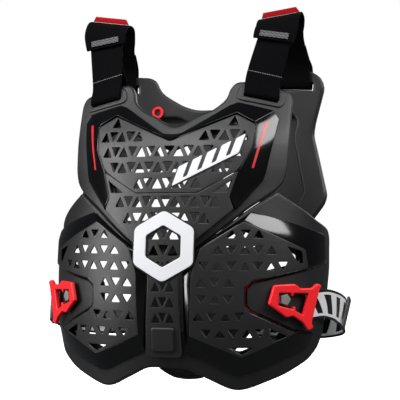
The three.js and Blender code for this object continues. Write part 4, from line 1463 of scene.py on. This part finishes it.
    def back_sections(self) -> list[Section]:
        """List the back web's sections from its folded end through the slot to the saddle's tip.

        Returns:
            The sections, in order.
        """
        near = self.back_low - self.thick / 2 - self.gap - self.back_gap
        far = self.back_top + self.thick / 2 + self.gap + self.back_gap
        rows = self.folded(Fold(*self.back_slot, near, far, 0.55, 10.0, (0.3, 0.7)),
                           BODY.back_point, self.crown(self.crown_radius, 180 - self.crown_lean))
        for degrees in (*self.back_turns, self.crown_lean):
            broad = self.wide + (self.saddle - self.wide) * min((180 - degrees) / 60, 1)
            rows.append(Section(self.crown(self.crown_radius, degrees), self.across(0, self.crown_droop),
                                broad))
        bend, tip, _ = self.saddle_end()
        return rows + [Section(bend, self.across(3, 4), self.saddle - 1),
                       Section(tip, self.across(5, 0), self.saddle - 4)]

    def tab_sections(self) -> list[Section]:
        """List the red pull tab's sections, square to the web's width.

        Returns:
            The sections, in order.
        """
        foot = self.crown(self.crown_radius + self.thick / 2 + self.tab_gap, self.tab_turn)
        across = self.across(0, self.crown_droop)
        tip = foot + Vector((-self.tab_rise * across.z / across.x, -3, self.tab_rise))
        return [Section(spot, across, wide) for spot, wide in zip((foot, tip), self.tab_widths)]

    def patch_sections(self) -> list[Section]:
        """List the grip patch's sections, on the saddle's end.

        Returns:
            The sections, in order.
        """
        _, tip, along = self.saddle_end()
        out = Vector((0, along.z, -along.y)).normalized()
        lift = (self.thick + self.patch_thick) / 2 + self.patch_gap
        return [Section(tip + along * at + out * lift, self.across(4, 2), self.patch_wide)
                for at in self.patch_at]

    def build(self) -> None:
        """Make the shoulder's pieces and hand them in."""
        word = self.side.word
        for sections, thick, finish, name, slot, node in (
            (self.front_sections(), self.thick, STITCHED_WEB, "shoulder_web_front", "webbing", "front_web"),
            (self.back_sections(), self.thick, BLACK_WEB, "shoulder_web_back", "webbing", "back_web"),
            (self.tab_sections(), self.tab_thick, RED_TAPE, "red_pull_tab", "red_web", "pull_tab"),
            (self.patch_sections(), self.patch_thick, GRIP_PRINT, "zigzag_grip", "grip", "grip_patch"),
        ):
            handed_in(dressed(Ribbon(sections, thick).build(), finish), f"{name}_{word}", slot,
                      f"{node}_{word}")


# ---- side fastening


@dataclass
class SideFastening:
    """One side's red clip on its stud, the printed strap round to the back and its slider."""

    side: Side
    wide: float = 165.0
    high: float = -100.0
    base_rise: float = -4.8
    lift: float = 2.6
    thick: float = 6.0
    clip_edge: tuple = (
        (-30, -4), (-22, 20), (9, 21), (16, 15), (34, 15), (41, 21), (48, 18), (44, 10), (33, -30),
        (36, -36), (28, -40), (20, -29), (5, -20), (-4, -22),
    )
    clip_window: tuple = (
        (-15, 10), (2, 9.2), (3, 5), (6, 5.5), (6.5, 9), (28, 8), (20, -19), (9, -13.4), (9, -8.5),
        (5.5, -8), (5, -11.6), (-16, -6),
    )
    # Half the width over which the body's slant is read for the clip's plane
    probe: float = 8.0
    stud_radius: float = 8.0
    stud_at: Pair = (-5.0, 1.0)
    stud_rise: float = 7.4
    stud_gap: float = 0.4
    strap_wide: float = 38.0
    strap_thick: float = 2.4
    # Where the strap leaves the clip's bar, on the clip's plane, and its lean there and further on
    strap_from: Pair = (29.0, -9.0)
    strap_leans: Pair = (0.16, 0.1)
    slider_half: Pair = (7.5, 23.0)
    slider_lift: float = 1.8
    slider_thick: float = 3.4
    window_at: float = 3.3
    window_half: Pair = (2.2, 20.25)
    # The small plates stay flat, so their cuts stand far apart
    flat_pitch: float = 60.0
    strap_rows: tuple = (
        (190.5, 131, -106.5, 6), (199.5, 149, -110, 8), (204.5, 166, -115, 10), (207, 180, -122, 13),
        (204.5, 194, -130, 14), (194, 205, -137, 11), (170, 208, -141, 6), (135, 193, -140, 0),
        (104, 177.4, -138, -14), (83, 173.2, -137, -17),
    )

    def axes(self) -> tuple[Vector, Vector, Vector, Vector]:
        """Give the clip plane's origin and its ways across, up and out.

        Returns:
            The origin in millimetres, and the three ways, each one long.
        """
        sign = self.side.value
        origin = BODY.front_point(self.wide * sign, self.high, self.base_rise + self.lift)
        ahead = BODY.front_point((self.wide + self.probe) * sign, self.high, 0)
        behind = BODY.front_point((self.wide - self.probe) * sign, self.high, 0)
        across = (ahead - behind).normalized()
        out = BODY.front_point(self.wide * sign, self.high, 1)
        out = (out - BODY.front_point(self.wide * sign, self.high, 0)).normalized()
        up = (out.cross(across) * sign).normalized()
        return origin, across, up, out

    def clip(self) -> bpy.types.Object:
        """Model the clip: a bevelled frame with two prongs in its window.

        Returns:
            The finished piece.
        """
        frame_edge = softened(sided(self.clip_edge, self.side), 2.4)
        window = softened(sided(self.clip_window, self.side), 0.9)
        panel = FlatPanel(frame_edge, 0.0, self.thick, 1.7, [window], 2, self.flat_pitch)
        return dressed(panel.build(plane(*self.axes(), self.side)), RED_ACETAL)

    def stud(self) -> bpy.types.Object:
        """Model the five-sided stud.

        Returns:
            The finished piece.
        """
        (along, up), radius = self.stud_at, self.stud_radius
        points = [(along + radius * math.cos(turn), up + radius * math.sin(turn))
                  for turn in (k * 0.4 * math.pi for k in range(5))]
        panel = FlatPanel(softened(sided(points, self.side), 1.2), -self.lift + self.stud_gap,
                          self.stud_rise - self.lift, 1.0, (), 2, self.flat_pitch)
        return dressed(panel.build(plane(*self.axes(), self.side)), GREY_ACETAL)

    def strap_sections(self) -> list[Section]:
        """List the side strap's sections from the clip's bar round to the back.

        Returns:
            The sections, in order.
        """
        origin, across, up, out = self.axes()
        start = (origin + across * self.strap_from[0] + up * self.strap_from[1]
                 + out * (-self.strap_thick / 2 - 0.6))
        rows = [Section(start, (up + across * self.strap_leans[0]).normalized(), self.strap_wide - 2)]
        for wide, depth, high, fall in self.strap_rows:
            turn = math.radians(fall)
            way = Vector((self.strap_leans[1] * self.side.value, -math.sin(turn), math.cos(turn)))
            rows.append(Section(Vector((wide * self.side.value, depth, high)), way, self.strap_wide))
        return rows

    def slider(self) -> bpy.types.Object:
        """Model the two-slot slider on the strap.

        Returns:
            The finished piece.
        """
        before, here, after = self.strap_sections()[3:6]
        along = (after.middle - before.middle).normalized()
        across = (here.across - along * here.across.dot(along)).normalized()
        out = along.cross(across).normalized() * self.side.value
        lift = self.strap_thick / 2 + self.slider_lift
        windows = [softened(oblong(middle, *self.window_half), 0.8)
                   for middle in (-self.window_at, self.window_at)]
        panel = FlatPanel(softened(oblong(0, *self.slider_half), 2.5), lift, lift + self.slider_thick, 1.0,
                          windows, 2, self.flat_pitch)
        return dressed(panel.build(plane(here.middle, along, across, out, self.side)), BLACK_ACETAL)

    def build(self) -> None:
        """Make the side's pieces and hand them in."""
        word = self.side.word
        strap = dressed(Ribbon(self.strap_sections(), self.strap_thick).build(), SIDE_WEB)
        handed_in(strap, f"printed_side_strap_{word}", "white_strap", f"side_strap_{word}")
        handed_in(self.clip(), f"red_clip_{word}", "red_plastic", f"buckle_{word}")
        handed_in(self.stud(), f"grey_stud_{word}", "stud", f"stud_{word}")
        handed_in(self.slider(), f"strap_slider_{word}", "black_plastic", f"slider_{word}")


# ---- badges


@dataclass
class Badges:
    """The plain six-sided ring and the plain slanted bars, white on thin dark backings."""

    ring_high: float = -31.0
    ring_outer: float = 46.0
    ring_inner: float = 27.0
    low: float = 0.7
    ring_thick: float = 2.2
    bar_at: tuple = (8.0, 46.0)
    bar_thick: float = 1.4
    bars: int = 5
    bar_wide: float = 12.0
    bar_high: float = 25.0
    bar_step: float = 18.0
    foot: float = 4.5
    slope: float = 27.0
    bar_lean: float = 0.3
    bar_edge: float = 0.25
    backing_rim: float = 2.2
    backing_low: float = 0.1
    backing_edge: float = 0.25
    pitch: float = 14.0

    def backed(self, face: FlatPanel, ground: list[Pair], *holes: list[Pair]) -> bpy.types.Object:
        """Lay a white badge and its dark backing onto the plates.

        Args:
            face: The badge.
            ground: The backing's outline.
            *holes: The backing's holes.

        Returns:
            Both as one object.
        """
        backing = FlatPanel(ground, self.backing_low, self.low + self.backing_low, self.backing_edge, holes)
        return joined([dressed(face.build(BODY.front), WHITE_BADGE),
                       dressed(backing.build(BODY.front), BLACK_ACETAL)])

    def ring(self) -> bpy.types.Object:
        """Model the six-sided ring with rounded corners.

        Returns:
            The finished piece.
        """
        turns = [math.radians(90 + k * 60) for k in range(6)]
        loops = [[(r * math.cos(turn), self.ring_high + r * math.sin(turn)) for turn in turns]
                 for r in (self.ring_outer, self.ring_inner)]
        panel = FlatPanel(softened(loops[0], 6, 5), self.low, self.low + self.ring_thick, 0.8,
                          [softened(loops[1], 2.5)], 2, self.pitch)
        grown = (self.ring_outer + self.backing_rim) / self.ring_outer
        shrunk = (self.ring_inner - self.backing_rim) / self.ring_inner
        ground = [[(w * share, self.ring_high + (h - self.ring_high) * share) for w, h in loop]
                  for loop, share in zip(loops, (grown, shrunk))]
        return self.backed(panel, softened(ground[0], 6, 5), softened(ground[1], 2.5))

    def flash(self) -> bpy.types.Object:
        """Model the bars on their common foot.

        Returns:
            The finished piece.
        """
        rise = math.tan(math.radians(self.slope))

        def at(along: float, up: float) -> Pair:
            """Give a point of the slanted comb."""
            return self.bar_at[0] + along + up * self.bar_lean, self.bar_at[1] + along * rise + up

        length = self.bar_step * (self.bars - 1) + self.bar_wide
        points = [at(0, 0), at(length, 0)]
        for k in reversed(range(self.bars)):
            start = k * self.bar_step
            stop = start + self.bar_wide
            points += [at(stop, self.bar_high), at(start, self.bar_high)]
            if k:
                points += [at(start, self.foot), at(start - self.bar_step + self.bar_wide, self.foot)]
        panel = FlatPanel(softened(points, 1.8, 4), self.low, self.low + self.bar_thick, self.bar_edge,
                          pitch=self.pitch)
        rim = self.backing_rim
        ground = [at(-rim, -rim), at(length + rim, -rim), at(length + rim, self.bar_high + rim),
                  at(-rim, self.bar_high + rim)]
        return self.backed(panel, softened(ground, 3.0, 4))

    def build(self) -> None:
        """Make both badges and hand them in."""
        handed_in(self.ring(), "white_ring_badge", "white_plastic", "emblem")
        handed_in(self.flash(), "white_bar_badge", "white_plastic", "chest_flash")


# ---- studio


@dataclass
class Studio:
    """The camera at the photo's angle, a pale floor and soft lights."""

    azimuth: float = 18.0
    distance: float = 1.5
    focal: float = 1200.0
    image: float = 400.0
    centre: Pair = (154.7, 222.2)
    sensor: float = 36.0
    floor_drop: float = 0.06
    target: Triple = (0.0, 0.0, -0.28)
    # Each lamp's place and size in metres and its power in watts
    lamps: tuple = (
        ((-1.6, -1.1, 0.3), (0.5, 1.7), 38.0), ((1.7, -0.7, 1.15), (1.2, 1.1), 44.0),
        ((-0.3, -1.3, 1.2), (1.6, 0.8), 30.0), ((0.5, 1.7, 0.5), (1.6, 1.2), 14.0),
    )

    def camera(self) -> None:
        """Add the camera and aim it so that the photo's framing needs no lens shift."""
        turn = math.radians(self.azimuth)
        right = Vector((math.cos(turn), math.sin(turn), 0))
        ahead = Vector((-math.sin(turn), math.cos(turn), 0))
        middle = Vector((0, -BODY.shoulder_depth * MM, -BODY.shoulder_height * MM))
        aim = (ahead + right * (self.image / 2 - self.centre[0]) / self.focal
               + Vector((0, 0, (self.centre[1] - self.image / 2) / self.focal)))
        deselect()
        bpy.ops.object.camera_add(location=middle - ahead * self.distance,
                                  rotation=aim.to_track_quat("-Z", "Y").to_euler())
        camera = bpy.context.object
        camera.data.sensor_width = self.sensor
        camera.data.lens = self.focal / self.image * self.sensor
        camera.data.clip_end = 50.0
        bpy.context.scene.camera = camera

    def lamp(self, place: Triple, size: Pair, power: float) -> None:
        """Add one soft rectangular light, pointed at the target.

        Args:
            place: Where it stands, in metres.
            size: Its width and height.
            power: Its power in watts.
        """
        aim = Vector(self.target) - Vector(place)
        deselect()
        turn = aim.to_track_quat("-Z", "Y").to_euler()
        bpy.ops.object.light_add(type="AREA", location=place, rotation=turn)
        light = bpy.context.object.data
        light.shape = "RECTANGLE"
        light.size, light.size_y = size
        light.energy = power

    def world(self) -> None:
        """Light evenly from all round, with a pale ground behind the object."""
        world = bpy.data.worlds.new("studio_air")
        bpy.context.scene.world = world
        world.use_nodes = True
        tree = world.node_tree
        tree.nodes.clear()
        seen = add_node(tree, "LightPath")
        soft = add_node(tree, "Background", {"Color": linear("e8ebf0"), "Strength": 0.09})
        pale = add_node(tree, "Background", {"Color": linear("ffffff"), "Strength": 1.0})
        both = add_node(tree, "MixShader", {},
                        {0: seen.outputs["Is Camera Ray"], 1: soft.outputs[0], 2: pale.outputs[0]})
        add_node(tree, "OutputWorld", {}, {"Surface": both.outputs[0]})

    def floor(self) -> None:
        """Lay a pale floor under the object."""
        low = CAD_BOX[0][2] - self.floor_drop
        deselect()
        bpy.ops.mesh.primitive_circle_add(vertices=96, radius=12.0, fill_type="NGON", location=(0, 0, 0))
        obj = bpy.context.object
        set_corners(obj, corners_of(obj) + np.array([0.0, 0.0, low]))
        obj.name = "studio_floor"
        material, tree, shader = started("paper_matte_white")
        shader.inputs["Base Color"].default_value = linear("f6f6f6")
        shader.inputs["Roughness"].default_value = 0.9
        shader.inputs["Emission Color"].default_value = linear("ffffff")
        shader.inputs["Emission Strength"].default_value = 1.0
        # The black shells see the paper dimmer than the camera does, as in a photograph cut out on white
        seen = add_node(tree, "LightPath")
        dim = add_node(tree, "Emission", {"Color": linear("e8ebf0"), "Strength": 0.16})
        both = add_node(tree, "MixShader", {},
                        {0: seen.outputs["Is Camera Ray"], 1: dim.outputs[0], 2: shader.outputs[0]})
        tree.links.new(both.outputs[0], tree.nodes["Material Output"].inputs["Surface"])
        obj.data.materials.append(material)

    def build(self) -> None:
        """Set up the camera, the world, the floor and the lights."""
        self.camera()
        self.world()
        self.floor()
        for lamp in self.lamps:
            self.lamp(*lamp)
        bpy.context.scene.view_settings.view_transform = "Standard"


def main() -> None:
    """Build every sub-assembly in order."""
    logging.basicConfig(level=logging.INFO, format="%(name)s: %(message)s")
    Studio().build()
    FrontPads().build()
    ChestShells().build()
    BackPanel().build()
    Badges().build()
    for side in Side:
        RibShell(side).build()
        ShoulderStraps(side).build()
        SideFastening(side).build()


if __name__ == "__main__":
    main()
